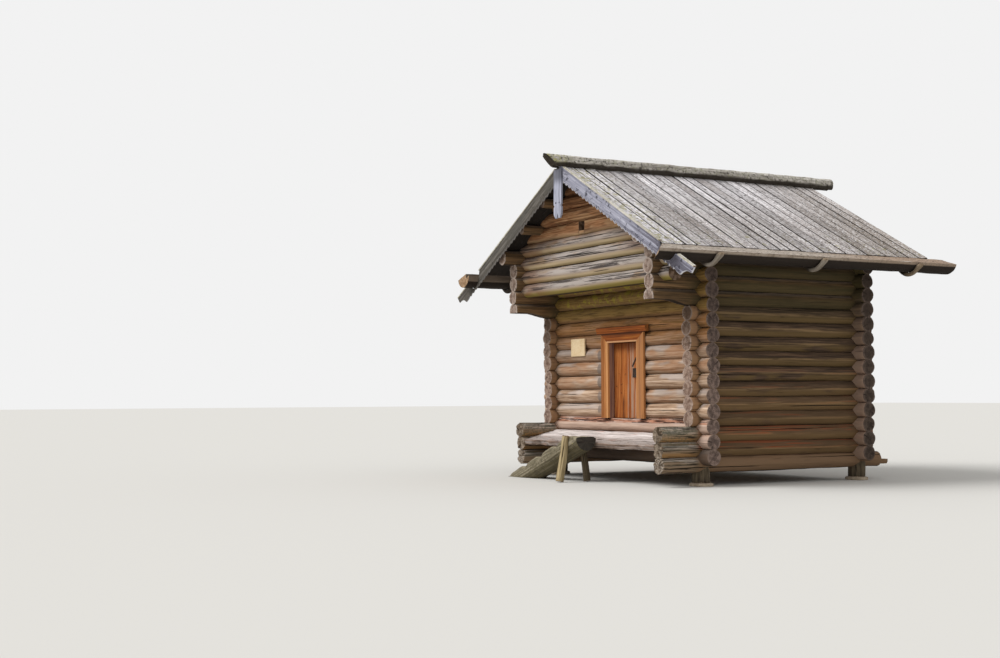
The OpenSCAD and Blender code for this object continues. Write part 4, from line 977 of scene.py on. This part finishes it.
# Roof: two layers of boards laid down each slope. An upper board has a shallow groove near each edge, and its
# edges are marked dark; the lower layer shows only in the gaps. Joints lie one pace apart, each moved a little,
# and either gape or are tight. A purlin's axis lies its own radius, measured upright, under the slope.
def buildRoof():
    y0, y1 = roofBox[0].y, roofBox[1].y
    peak, endX = roofBox[1].z, roofBox[1].x
    count = int((y1 - y0) / roof["pace"])
    pace = (y1 - y0) / count
    thick, ease, grooveHalf = roof["thick"], roof["ease"], roof["grooveHalf"]
    for s, sideName in sides:
        rng = np.random.default_rng(22 + s)
        boards = []
        joints = y0 + pace * np.arange(count + 1) + rng.uniform(-roof["waver"], roof["waver"], count + 1)
        isOpen = rng.random(count + 1) < roof["openShare"]
        gaps = np.where(isOpen, rng.uniform(*roof["gap"], count + 1), roof["tight"])
        shades = np.where(isOpen, roof["openShade"], roof["tightShade"])
        joints[[0, -1]], gaps[[0, -1]] = (y0, y1), 0.0
        for k in range(count):
            left, right = joints[k] + gaps[k] / 2, joints[k + 1] - gaps[k + 1] / 2
            half = (right - left) / 2
            inset = half - roof["grooveIn"] * rng.uniform(0.8, 1.2)
            groove = np.array([-grooveHalf, 0, grooveHalf])
            places = [-half + ease, -half + 0.008, *(groove - inset), -0.03, 0.03, *(groove + inset),
                      half - 0.008, half - ease]
            heights = np.zeros(len(places))
            heights[boardPoints["grooves"]] = -roof["grooveDepth"]
            outline = boardOutline(right - left, thick * rng.uniform(0.92, 1.0), ease, places, heights)
            shade = np.zeros(len(outline))
            shade[boardPoints["grooves"]] = roof["grooveShade"] * rng.random(2)
            shade[boardPoints["left"]], shade[boardPoints["right"]] = shades[k], shades[k + 1]
            start = np.array((0.0, (left + right) / 2, peak)) - offSlope * (thick / 2 + roof["sink"])
            boards.append(mirrored(makeBar(
                rng, start, downSlope, alongEave, endX / math.cos(pitch) - rng.uniform(*roof["shortBy"]), outline,
                rng.uniform(0, 1), rough=0.0012, cup=rng.uniform(-0.002, 0.003), bend=rng.uniform(-0.001, 0.001),
                step=0.16, endRough=0.006, dark=shade), s))
        # lower boards marked dark all over: painted shade seen through the gaps
        for k in range(count + 1):
            middle, half = y0 + k * pace, (pace - roof["lowerGap"]) / 2
            left, right = max(y0, middle - half), min(y1, middle + half)
            start = np.array((0.0, (left + right) / 2, peak)) - offSlope * (thick * 1.5 + roof["lowerSink"])
            boards.append(mirrored(makeBar(
                rng, start, downSlope, alongEave, (endX - roof["lowerEndIn"]) / math.cos(pitch),
                boardOutline(right - left, thick - 0.002), 0.8, rough=0.0008, step=0.5, endRough=0.004,
                dark=roof["tightShade"]), s))
        makePiece(sideName + "_roof_planks", boards, roofPine, [sideName + "_roof_boards"])
    rng = np.random.default_rng(27)
    places = {"ridge_purlin": [0.0], "right_purlins": [halfW / 3, 2 * halfW / 3],
              "left_purlins": [-halfW / 3, -2 * halfW / 3]}
    for name, xs in places.items():
        low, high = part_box(name)
        poles = []
        for x in xs:
            z = plateTop + (halfW - abs(x)) * slope - (roof["purlinR"] + roof["fit"]) / math.cos(pitch)
            endIn = roof["purlinEndIn"]
            poles.append(makeLog(rng, (x, low.y + endIn, z), (x, high.y - endIn, z), roof["purlinR"] * 0.99,
                                 rng.uniform(0, 1), cols=24, step=0.14, rough=0.002, bow=0.0))
        makePiece(name + "_poles", poles, bracketPine, [name])


buildRoof()
print("roof made")

# Gutters and their hooked timbers: metres and degrees
gutter = {"radius": 0.222, "pitch": 18.0, "grooveR": 0.040, "grooveX": 2.958, "plug": 0.150, "boardEnd": 2.930,
          "plugFade": 0.004, "worn": 0.003, "edgeWorn": 0.004, "topWorn": 0.002, "prow": (0.625, 0.627),
          "prowBehind": 0.010, "shortRear": 0.17}
# A hooked timber's thickness and width vary by these shares at these rings along its path
hook = {"thick": 0.075, "width": 0.10, "endIn": 0.045, "waver": 0.005, "pastPurlin": 0.13, "arc": (190, 338),
        "sweep": 0.05, "press": 0.002, "underBoards": 0.006, "bulge": 0.07, "rings": (0, 9, 17, 22, 24, 25),
        "thickShares": (1, 1, 0.95, 0.75, 0.7, 0.3), "widthShares": (1, 1, 0.9, 0.85, 1.2, 1.0)}
tilt = math.radians(gutter["pitch"])
gutterLow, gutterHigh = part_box("right_gutter")
gutterX = gutterHigh.x - gutter["radius"] * math.cos(tilt)
gutterZ = gutterLow.z + gutter["radius"]


# Height of the top of the roof boards at x
def overZ(x):
    return roofBox[1].z - slope * abs(x)


# Gutter: the outline of a half log with a sloping flat top and a groove under the ends of the boards, carried
# along the eave. The right one's front end is a slanting plane; the left one's is whole, so there the groove
# rises to the flat top.
def makeGutter(rng, box, s):
    radius, grooveR = gutter["radius"], gutter["grooveR"]
    arc = np.linspace(-tilt, -math.pi, 26)
    outer = np.stack([np.cos(arc), np.sin(arc)], -1) * (radius - gutter["worn"])
    bowl = np.linspace(math.pi, 2 * math.pi, 7)
    grooveX = gutter["grooveX"] - gutterX
    groove = np.stack([grooveX + grooveR * np.cos(bowl), grooveR * np.sin(bowl)], -1)
    flatX = np.linspace(grooveX + grooveR, radius * math.cos(tilt) - gutter["edgeWorn"], 8)
    flat = np.stack([flatX, -flatX * math.tan(tilt) - gutter["topWorn"]], -1)
    outline = np.vstack([outer, groove, flat])
    grooved = slice(len(outer), len(outer) + len(groove))

    # ahead of the plug's end the groove's points are lifted to the flat top, over a short straight line
    def plugged(travel, shape):
        deep = np.clip((travel - gutter["plug"]) / gutter["plugFade"], 0, 1)[:, None]
        top = -shape[:, grooved, 0] * math.tan(tilt) - gutter["topWorn"]
        shape[:, grooved, 1] = top + (np.minimum(shape[:, grooved, 1], top) - top) * deep
        return shape

    rear = box[1].y - gutter["shortRear"] - box[0].y

    # the front plane comes forward with the distance out from the boards' ends and the depth under them
    def prow(across, upward):
        x, z = -across + gutterX - gutter["boardEnd"], upward + gutterZ - overZ(gutter["boardEnd"])
        y = roofBox[0].y - gutter["prowBehind"] - gutter["prow"][0] * x + gutter["prow"][1] * z
        return np.maximum(y - box[0].y, 0), rear + 0 * across

    bar = makeBar(rng, (gutterX, box[0].y, gutterZ), (0, 1, 0), (-1, 0, 0), rear,
                  outline * (-1, 1), 0.2, rough=0.0022, step=0.07, endRough=0.004, ends=prow if s > 0 else None,
                  reshape=plugged if s < 0 else None, stations=[gutter["plug"], gutter["plug"] + 0.005])
    bar["grain"][:, 1] *= -1
    return mirrored(bar, s)


# Wave with blunter tops, which makes a squarer oval
def blunt(wave):
    return np.sign(wave) * np.abs(wave) ** 0.8


# Hooked timber: a flat oval carried along a path that follows the slope under the boards, then an arc round
# the half log to its outer edge, where it flares and sweeps to the rear. Its width and thickness run by
# straight lines between the rings given.
def makeHook(rng, s, y):
    halfThick, halfWidth = hook["thick"] / 2, hook["width"] / 2
    topX = 2 * halfW / 3 - hook["pastPurlin"]
    ringR = gutter["radius"] + halfThick - hook["press"]
    slopeX = np.linspace(topX, gutterX - ringR, 9)
    slopeZ = plateTop + (halfW - slopeX) * slope - (halfThick + hook["underBoards"]) / math.cos(pitch)
    turn = np.linspace(*np.radians(hook["arc"]), 17)
    path = np.stack([np.concatenate([slopeX, gutterX + ringR * np.cos(turn)]),
                     np.concatenate([slopeZ, gutterZ + ringR * np.sin(turn)])], -1)
    rows, cols = len(path), 16
    ahead = np.gradient(path, axis=0)
    ahead /= np.linalg.norm(ahead, axis=1)[:, None]
    normal = np.stack([-ahead[:, 1], ahead[:, 0]], -1)
    around = np.linspace(0, 2 * np.pi, cols, endpoint=False)
    thicks = halfThick * np.interp(np.arange(rows), hook["rings"], hook["thickShares"])
    widths = halfWidth * np.interp(np.arange(rows), hook["rings"], hook["widthShares"])
    bulge = 1 + hook["bulge"] * softNoise(rng, rows, cols, 4, 3)
    out = thicks[:, None] * blunt(np.cos(around)) * bulge
    wide = widths[:, None] * blunt(np.sin(around)) * bulge
    sweep = hook["sweep"] * np.clip((np.arange(rows) - rows + 5) / 4, 0, 1)[:, None] ** 2
    rings = np.stack([path[:, :1] + normal[:, :1] * out, y + wide + sweep, path[:, 1:] + normal[:, 1:] * out], -1)
    length = np.cumsum(np.linalg.norm(np.gradient(path, axis=0), axis=1))
    grain = np.stack([length[:, None] * np.ones(cols), out, wide], -1)
    end = np.zeros((rows, 1))
    end[[0, -1]] = 1
    return mirrored(closeRings(rings, grain, wearMarks((rows, cols), rng.random(), end)), s)


# Gutters: one along each eave, held by three hooked timbers at even distances
def buildGutters():
    rng = np.random.default_rng(31)
    for s, sideName in sides:
        bar = makeGutter(rng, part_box(sideName + "_gutter"), s)
        makePiece(sideName + "_hollowed_gutter", [bar], gutterPine, [sideName + "_gutter"])
        low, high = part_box(sideName + "_hooks")
        ys = np.linspace(low.y + hook["endIn"], high.y - hook["endIn"], 3)
        hooks = [makeHook(rng, s, y + rng.uniform(-hook["waver"], hook["waver"])) for y in ys]
        makePiece(sideName + "_root_hooks", hooks, hookPine, [sideName + "_hooks"])


buildGutters()
print("gutters made")

# Ridge log, in metres
ridge = {"diameter": 0.25, "cut": 0.25, "worn": 0.010, "fit": 0.001, "hollowShare": 0.96}


# Ridge log: an arc over the top and the hollow that fits both slopes below, carried along the ridge. The arc
# starts where the circle meets the slope, by the arc cosine of their distance over the radius. The front end
# slants from the tip at the top back to the underside.
def buildRidge():
    rng = np.random.default_rng(41)
    low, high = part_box("ridge_log")
    radius = ridge["diameter"] / 2
    centre = high.z - radius
    peak = roofBox[1].z
    start = math.pi / 2 - pitch - math.acos((peak - centre) * math.cos(pitch) / radius)
    arc = np.linspace(math.pi - start, start, 19)
    outer = np.stack([np.cos(arc), np.sin(arc)], -1) * (radius - ridge["worn"])
    innerX = np.linspace(outer[-1, 0], outer[0, 0], 19) * ridge["hollowShare"]
    inner = np.stack([innerX, peak + ridge["fit"] - slope * np.abs(innerX) - centre], -1)

    # the front end lies back in proportion to the depth under the top
    def beak(across, upward):
        return ridge["cut"] * (radius - upward) / (2 * radius), high.y - low.y + 0 * across

    log = makeBar(rng, (0, low.y, centre), (0, 1, 0), (-1, 0, 0), high.y - low.y, np.vstack([outer, inner]), 0.3,
                  rough=0.0035, step=0.07, cap="wall", ends=beak, endRough=0.012)
    makePiece("hollowed_ridge_log", [log], ridgePine, ["ridge_log"])


buildRidge()
print("ridge made")

# Bargeboards, in metres
barge = {"width": 0.235, "lip": 0.012, "tooth": 0.118, "toothDepth": 0.046, "toothWaver": 0.006, "outX": 3.740,
         "pendantW": 0.24, "tailHeel": 0.065, "tailDrop": 0.080, "scallop": 0.040, "scallopFlat": 0.008,
         "lathWidth": 0.055, "lathThick": 0.02, "lathStart": 0.13, "gutterFit": 0.0003, "rowShares":
         (0.0, 0.05, 0.3, 0.6, 0.96, 1.0), "edgeEase": (0.003, 0, 0, 0, 0, 0.003), "edgeHighlight": 0.7}
# One tooth: places along it, as a share of its width and metres more, and its depth there as a share
toothShape = {"shares": (0, 0, 0.5, 1), "shifts": (-0.001, 0.010, 0, -0.012), "depths": (0.0, 1.0, 0.5, 0.03)}


# Bargeboard: at each place along the slope an upright flat section. Its lower edge follows a sawtooth, then a
# level tail with a scallop that is part of a circle, and rises to the top at the heel; round the gutter only
# the strip under the half log stays.
def makeBargeboard(rng, box):
    drop = barge["width"] / math.cos(pitch)
    toothX = barge["tooth"] * math.cos(pitch)
    firstX, outX = barge["pendantW"] / 2, barge["outX"]
    tailLow = overZ(outX) + barge["lip"] - barge["tailDrop"]
    tailIn = outX - (drop - barge["tailDrop"]) / slope
    heelX = outX - barge["tailHeel"]
    teeth = int((tailIn - firstX) / toothX)
    waver = barge["toothWaver"]
    at = firstX + toothX * np.arange(teeth)[:, None] + rng.uniform(-waver, waver, (teeth, 1))
    depth = barge["toothDepth"] * rng.uniform(0.85, 1.05, (teeth, 1))
    toothXs = at + toothX * np.array(toothShape["shares"]) + np.array(toothShape["shifts"])
    toothLows = depth * np.array(toothShape["depths"])
    tailXs = np.concatenate([np.linspace(tailIn, heelX, 18), [outX - 0.001]])
    xs = np.concatenate([[0.001, firstX - 0.012], toothXs.ravel(), tailXs])
    tops = overZ(xs) + barge["lip"]
    unders = tops - drop + np.concatenate([[0.0, 0.0], toothLows.ravel(), np.zeros(len(tailXs))])
    half = (heelX - tailIn) / 2 - barge["scallopFlat"]
    scallopR = (half ** 2 + barge["scallop"] ** 2) / (2 * barge["scallop"])
    bite = np.sqrt(np.clip(scallopR ** 2 - (xs - (heelX + tailIn) / 2) ** 2, 0, None)) - scallopR + barge["scallop"]
    unders = np.where(xs >= tailIn, tailLow + np.clip(bite, 0, None), unders)
    unders[-1] = tops[-1] - 0.004
    gap = gutter["radius"] + barge["gutterFit"]
    away = np.abs(xs - gutterX)
    under = gutterZ - np.sqrt(np.clip(gap ** 2 - away ** 2, 0, None)) - 0.003
    tops = np.where(away < gap, np.minimum(tops, np.maximum(under, unders + 0.002)), tops)
    heights = unders[:, None] + (tops - unders)[:, None] * np.array(barge["rowShares"])
    ease = np.array(barge["edgeEase"])
    front = box[0].y + 0.004 + ease + 0.002 * softNoise(rng, len(xs), 1, 3, 1)
    back = box[1].y - 0.001 - ease + 0 * xs[:, None]
    z = np.concatenate([heights, heights[:, ::-1]], 1)
    y = np.concatenate([front, back], 1)
    rings = np.stack([xs[:, None] * np.ones(z.shape), y, z], -1)
    grain = np.stack([rings[..., 0] / math.cos(pitch), (z - tops[:, None]) * math.cos(pitch), y - box[0].y], -1)
    # the lower edge and tooth tips get the crack colour, a painted highlight
    litLowerEdge = np.zeros(z.shape)
    litLowerEdge[:, [0, -1]] = barge["edgeHighlight"]
    return closeRings(rings, grain, wearMarks(z.shape, 0.25, crack=litLowerEdge), cap="wall")


# Bargeboards and, on the slope above each, two laths that stop short of the gutter on both sides
def buildBargeboards():
    rng = np.random.default_rng(51)
    gap = gutter["radius"] + 0.01
    for (s, sideName), wood in zip(sides, (bargePine, dampBargePine)):
        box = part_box(sideName + "_bargeboard")
        makePiece(sideName + "_sawtooth_board", [mirrored(makeBargeboard(rng, box), s)], wood,
                  [sideName + "_bargeboard"])
        start = np.array((0.0, (box[0].y + box[1].y) / 2 + 0.006, roofBox[1].z + barge["lip"])) + offSlope * (
            barge["lathThick"] / 2 - 0.002)
        outline = boardOutline(barge["lathWidth"], barge["lathThick"])
        laths = []
        for x0, x1 in ((barge["lathStart"], gutterX - gap), (gutterX + gap, barge["outX"] - 0.01)):
            laths.append(mirrored(makeBar(
                rng, start + downSlope * x0 / math.cos(pitch), downSlope, alongEave, (x1 - x0) / math.cos(pitch),
                outline, 0.3, step=0.15), s))
        makePiece(sideName + "_verge_strip", laths, verge, [])


buildBargeboards()
print("bargeboards made")

# Porch and stair: metres and degrees
porch = {"fall": 14.5, "thick": 0.085, "lift": 0.010, "planks": 3, "gap": 0.006, "ease": 0.006, "worn": 0.003}
stair = {"diameter": 0.40, "pitch": 20.0, "top": 0.765, "axisDrop": 0.035, "first": 0.65, "rise": 0.19, "steps": 3,
         "fill": 0.985, "uneven": 0.015, "nose": (0.05, 0.09), "wornSides": 0.03, "worn": 0.005,
         "endShares": (0.3, 0.7, 0.96), "byRiser": (-0.012, -0.002, 0.002, 0.012, 0.03, 0.06),
         "legR": 0.065, "legIn": 0.006, "legEndIn": 0.012}


# Porch: thick planks side by side, falling forward from the front wall; the worn top is a line of small random
# heights across each plank, and the front plank is the roughest
def buildPorch():
    rng = np.random.default_rng(61)
    low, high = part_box("porch_deck")
    fall = math.radians(porch["fall"])
    side = np.array((0, math.cos(fall), math.sin(fall)))
    normal = np.array((0, -math.sin(fall), math.cos(fall)))
    rearTop = np.array((low.x + 0.002, frontY - logR - 0.005, sideZ(sillRow))) + normal * (porch["lift"] - 0.006)
    depth = (rearTop[1] - low.y) / math.cos(fall) - 0.004
    pace = depth / porch["planks"]
    planks = []
    for k in range(porch["planks"]):
        width = pace - porch["gap"]
        places = np.linspace(-width / 2 + 0.004, width / 2 - 0.004, 8)
        start = rearTop - side * pace * (k + 0.5) - normal * porch["thick"] / 2
        planks.append(makeBar(
            rng, start, (1, 0, 0), side, high.x - low.x - 0.004,
            boardOutline(width, porch["thick"], porch["ease"], places, porch["worn"] * rng.standard_normal(8), 6),
            rng.uniform(0, 0.8), rough=0.006 if k == porch["planks"] - 1 else 0.003, step=0.07, endRough=0.01))
    makePiece("bleached_porch_planks", planks, deckPine, ["porch_deck"])


# Stair: the upright section of a sloping log is an oval; its top is held down to the tread at each station
# along it, the nose of each tread is rounded off, and the tread falls by one rise at each riser
def buildStair():
    rng = np.random.default_rng(71)
    low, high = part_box("stair_log")
    radius = stair["diameter"] / 2 * stair["fill"]
    lean = math.radians(stair["pitch"])
    centreY, footX, topX = (low.y + high.y) / 2, low.x, high.x
    risers = topX - stair["first"] - np.arange(stair["steps"]) * stair["rise"] / math.tan(lean)
    spots = np.concatenate([np.linspace(footX + 0.004, topX - 0.004, 70)] + [risers + d for d in stair["byRiser"]])
    spots = np.sort(spots[(spots > footX) & (spots < topX)])
    xs, share = ringPlaces(footX, spots, topX, np.array(stair["endShares"]))
    rows, cols = len(xs), 44
    level = (risers[None, :] > xs[:, None]).sum(1)
    ahead = xs - np.concatenate([risers, [footX - 1]])[np.minimum(level, stair["steps"])]
    noseDepth, noseLength = stair["nose"]
    nose = noseDepth * np.clip(1 - ahead / noseLength, 0, 1) ** 2
    turn = np.linspace(0, 2 * np.pi, cols, endpoint=False)
    noise = 1 + stair["uneven"] * softNoise(rng, rows, cols, 9, 4)
    axisZ = stair["top"] - stair["axisDrop"] - (topX - xs) * math.tan(lean)
    y = centreY + radius * np.cos(turn) * np.minimum(noise, 1.01)
    z = axisZ[:, None] + radius / math.cos(lean) * np.sin(turn) * noise
    limit = (stair["top"] - stair["rise"] * level - nose - 0.004)[:, None]
    limit = limit - stair["wornSides"] * ((y - centreY) / radius) ** 6
    limit = limit - stair["worn"] * np.abs(softNoise(rng, rows, cols, 14, 6))
    z = np.clip(z, 0.004, limit)
    centreZ = z.mean(1)[:, None]
    rings = np.stack([xs[:, None] + 0 * y, centreY + (y - centreY) * share[:, None],
                      centreZ + (z - centreZ) * share[:, None]], -1)
    grain = np.stack([rings[..., 0], y - centreY, z - axisZ[:, None]], -1)
    wear = wearMarks(y.shape, 0.4, (share < 1)[:, None])
    makePiece("notched_stair_log", [closeRings(rings, grain, wear)], stairPine, ["stair_log"])
    legR = stair["legR"]
    for name, turnY in (("stair_leg_front", 1), ("stair_leg_rear", -1)):
        low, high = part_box(name)
        x = (low.x + high.x) / 2
        footY, headY = (low.y + legR + stair["legIn"], high.y - legR - stair["legIn"])[::turnY]
        leg = makeLog(rng, (x, footY, low.z + stair["legEndIn"]), (x, headY, high.z - stair["legEndIn"]), legR * 0.96,
                      cols=20, step=0.06, rough=0.003, cracks=pickCracks(rng, -1.4, 2, 0.008, 0.09),
                      endRough=(0.002, 0.008))
        makePiece(name + "_pole", [leg], legPine, [name])


buildPorch()
buildStair()
print("porch and stair made")

# Door: places in x and z and sizes, in metres
door = {"plankEdges": (0.0, 0.27, 0.51, 0.78, 1.0), "seam": 0.006, "ironT": 0.006, "haspW": 0.030,
        "hasp": ((0.40, 2.075), (0.285, 1.925)), "plateX": (0.30, 0.42), "plateZ": (1.74, 1.90),
        "ease": 0.004, "pivotEase": 0.02, "casingW": 0.21, "casingT": 0.045}
# Profiles: the side casing in metres across from the opening and out from its thickness; the head board and the
# cornice in shares of their depth and height
mould = {
    "side": ((0.0, -0.006), (0.035, -0.006), (0.040, 0.0), (0.046, 0.0), (0.10, 0.0), (0.106, -0.005), (0.112, 0.0),
             (0.19, 0.0), (0.196, -0.004), (0.21, -0.006)),
    "casing_head_board": ((0, 0.003), (0.87, 0.003), (0.87, 0.2), (1, 0.23), (1, 0.55), (0.89, 0.58), (1, 0.62),
                          (1, 0.975), (0.91, 1.0), (0, 1.0)),
    "door_cornice": ((0, 0), (0.7, 0.0), (0.75, 0.1), (0.8, 0.3), (0.97, 0.36), (0.995, 0.42), (0.995, 0.86),
                     (0.95, 0.9), (0.3, 0.985), (0, 1.0)),
}


# Door: upright planks with a seam between them, a strap that runs slanting down to a plate, the side casings'
# profile carried up to a mitre, a head board mitred down at both ends, and the cornice over it. A mitre moves the
# end of each line by its share of the casing's width.
def buildDoor():
    rng = np.random.default_rng(81)
    low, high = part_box("door_leaf")
    edges = low.x + (high.x - low.x) * np.array(door["plankEdges"])
    planks = []
    for k in range(len(edges) - 1):
        left, right = edges[k] + (k > 0) * door["seam"] / 2, edges[k + 1] - (k < len(edges) - 2) * door["seam"] / 2
        outline = boardOutline(right - left, high.y - low.y - 0.002, door["ease" if k else "pivotEase"],
                               np.linspace(left - right + 0.012, right - left - 0.012, 7) / 2)
        planks.append(makeBar(rng, ((left + right) / 2, (low.y + high.y) / 2, low.z), (0, 0, 1), (-1, 0, 0),
                              high.z - low.z, outline, rng.uniform(0, 1), rough=0.0008, step=0.1))
    makePiece("door_leaf_planks", planks, doorPine, ["door_leaf"], body="door")
    front = low.y - door["ironT"] / 2
    (x0, z0), (x1, z1) = door["hasp"]
    strap = makeBar(rng, (x0, front, z0), (x1 - x0, 0, z1 - z0), (z0 - z1, 0, x1 - x0), math.hypot(x1 - x0, z1 - z0),
                    boardOutline(door["haspW"], door["ironT"], 0.001), rough=0.0008, step=0.03)
    (x0, x1), (z0, z1) = door["plateX"], door["plateZ"]
    plate = makeBar(rng, ((x0 + x1) / 2, front, z0), (0, 0, 1), (-1, 0, 0), z1 - z0,
                    boardOutline(x1 - x0, door["ironT"], 0.001), rough=0.004, step=0.02)
    makePiece("forged_hasp", [strap, plate], ironFinish, [], body="door")
    low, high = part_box("casing_left")
    height, rise, casingW = high.z - low.z, high.z - headZ, door["casingW"]
    across, out = np.array(mould["side"]).T
    back = np.stack([[casingW - 0.001, casingW / 2, 0.001], np.zeros(3)], -1)
    outline = np.vstack([np.stack([across, door["casingT"] + out], -1), back])

    # the top rises with the distance from the opening
    def mitred(across, upward):
        return 0 * across, height - rise + rise * np.clip(np.abs(across), 0, casingW) / casingW

    for s, sideName, x in ((-1, "left", high.x), (1, "right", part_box("casing_right")[0].x)):
        board = makeBar(rng, (x, high.y, low.z), (0, 0, 1), (1, 0, 0), height, outline * (s, -1), 0.4, rough=0.0008,
                        ends=mitred, step=0.15, endRough=0.0)
        makePiece("casing_board_" + sideName, [board], casingPine, ["casing_" + sideName])
    for name in ("casing_head_board", "door_cornice"):
        low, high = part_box(name)
        deep, tall, span = high.y - low.y, high.z - low.z, high.x - low.x

        # both ends draw in with the distance under the board's top
        def headMitre(across, upward):
            cut = (tall - np.clip(upward, 0, tall)) * casingW / tall
            return cut, span - cut

        board = makeBar(rng, (low.x + 0.0005, high.y, low.z), (1, 0, 0), (0, 1, 0), span - 0.001,
                        np.array(mould[name]) * (-deep, tall), 0.5, rough=0.0006,
                        ends=headMitre if name == "casing_head_board" else None, step=0.12, endRough=0.0)
        makePiece(name + "_moulded", [board], headPine, [name])
    low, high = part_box("notice_plate")
    plate = makeBar(rng, (low.x, (low.y + high.y) / 2, (low.z + high.z) / 2), (1, 0, 0), (0, 0, 1), high.x - low.x,
                    boardOutline(high.z - low.z, high.y - low.y, 0.002), 0.2, rough=0.0002, endRough=0.0)
    makePiece("bare_notice_plate", [plate], plateFinish, ["notice_plate"])


buildDoor()
print("door made")

# Nodes whose own shape is right: each gets only its material
kept = {
    "floor_boards": innerPine, "soffit_boards": shadedSoffitPine, "door_post_left": postPine, "door_post_right": postPine,
    "door_lintel": lintelPine, "door_ledges": lintelPine, "door_pivots": postPine, "lock_plate": ironFinish,
    "pendant_board": pendantPine,
}
for name, material in kept.items():
    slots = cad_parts[name].data.materials
    slots.clear()
    slots.append(material)
print("kept nodes finished")
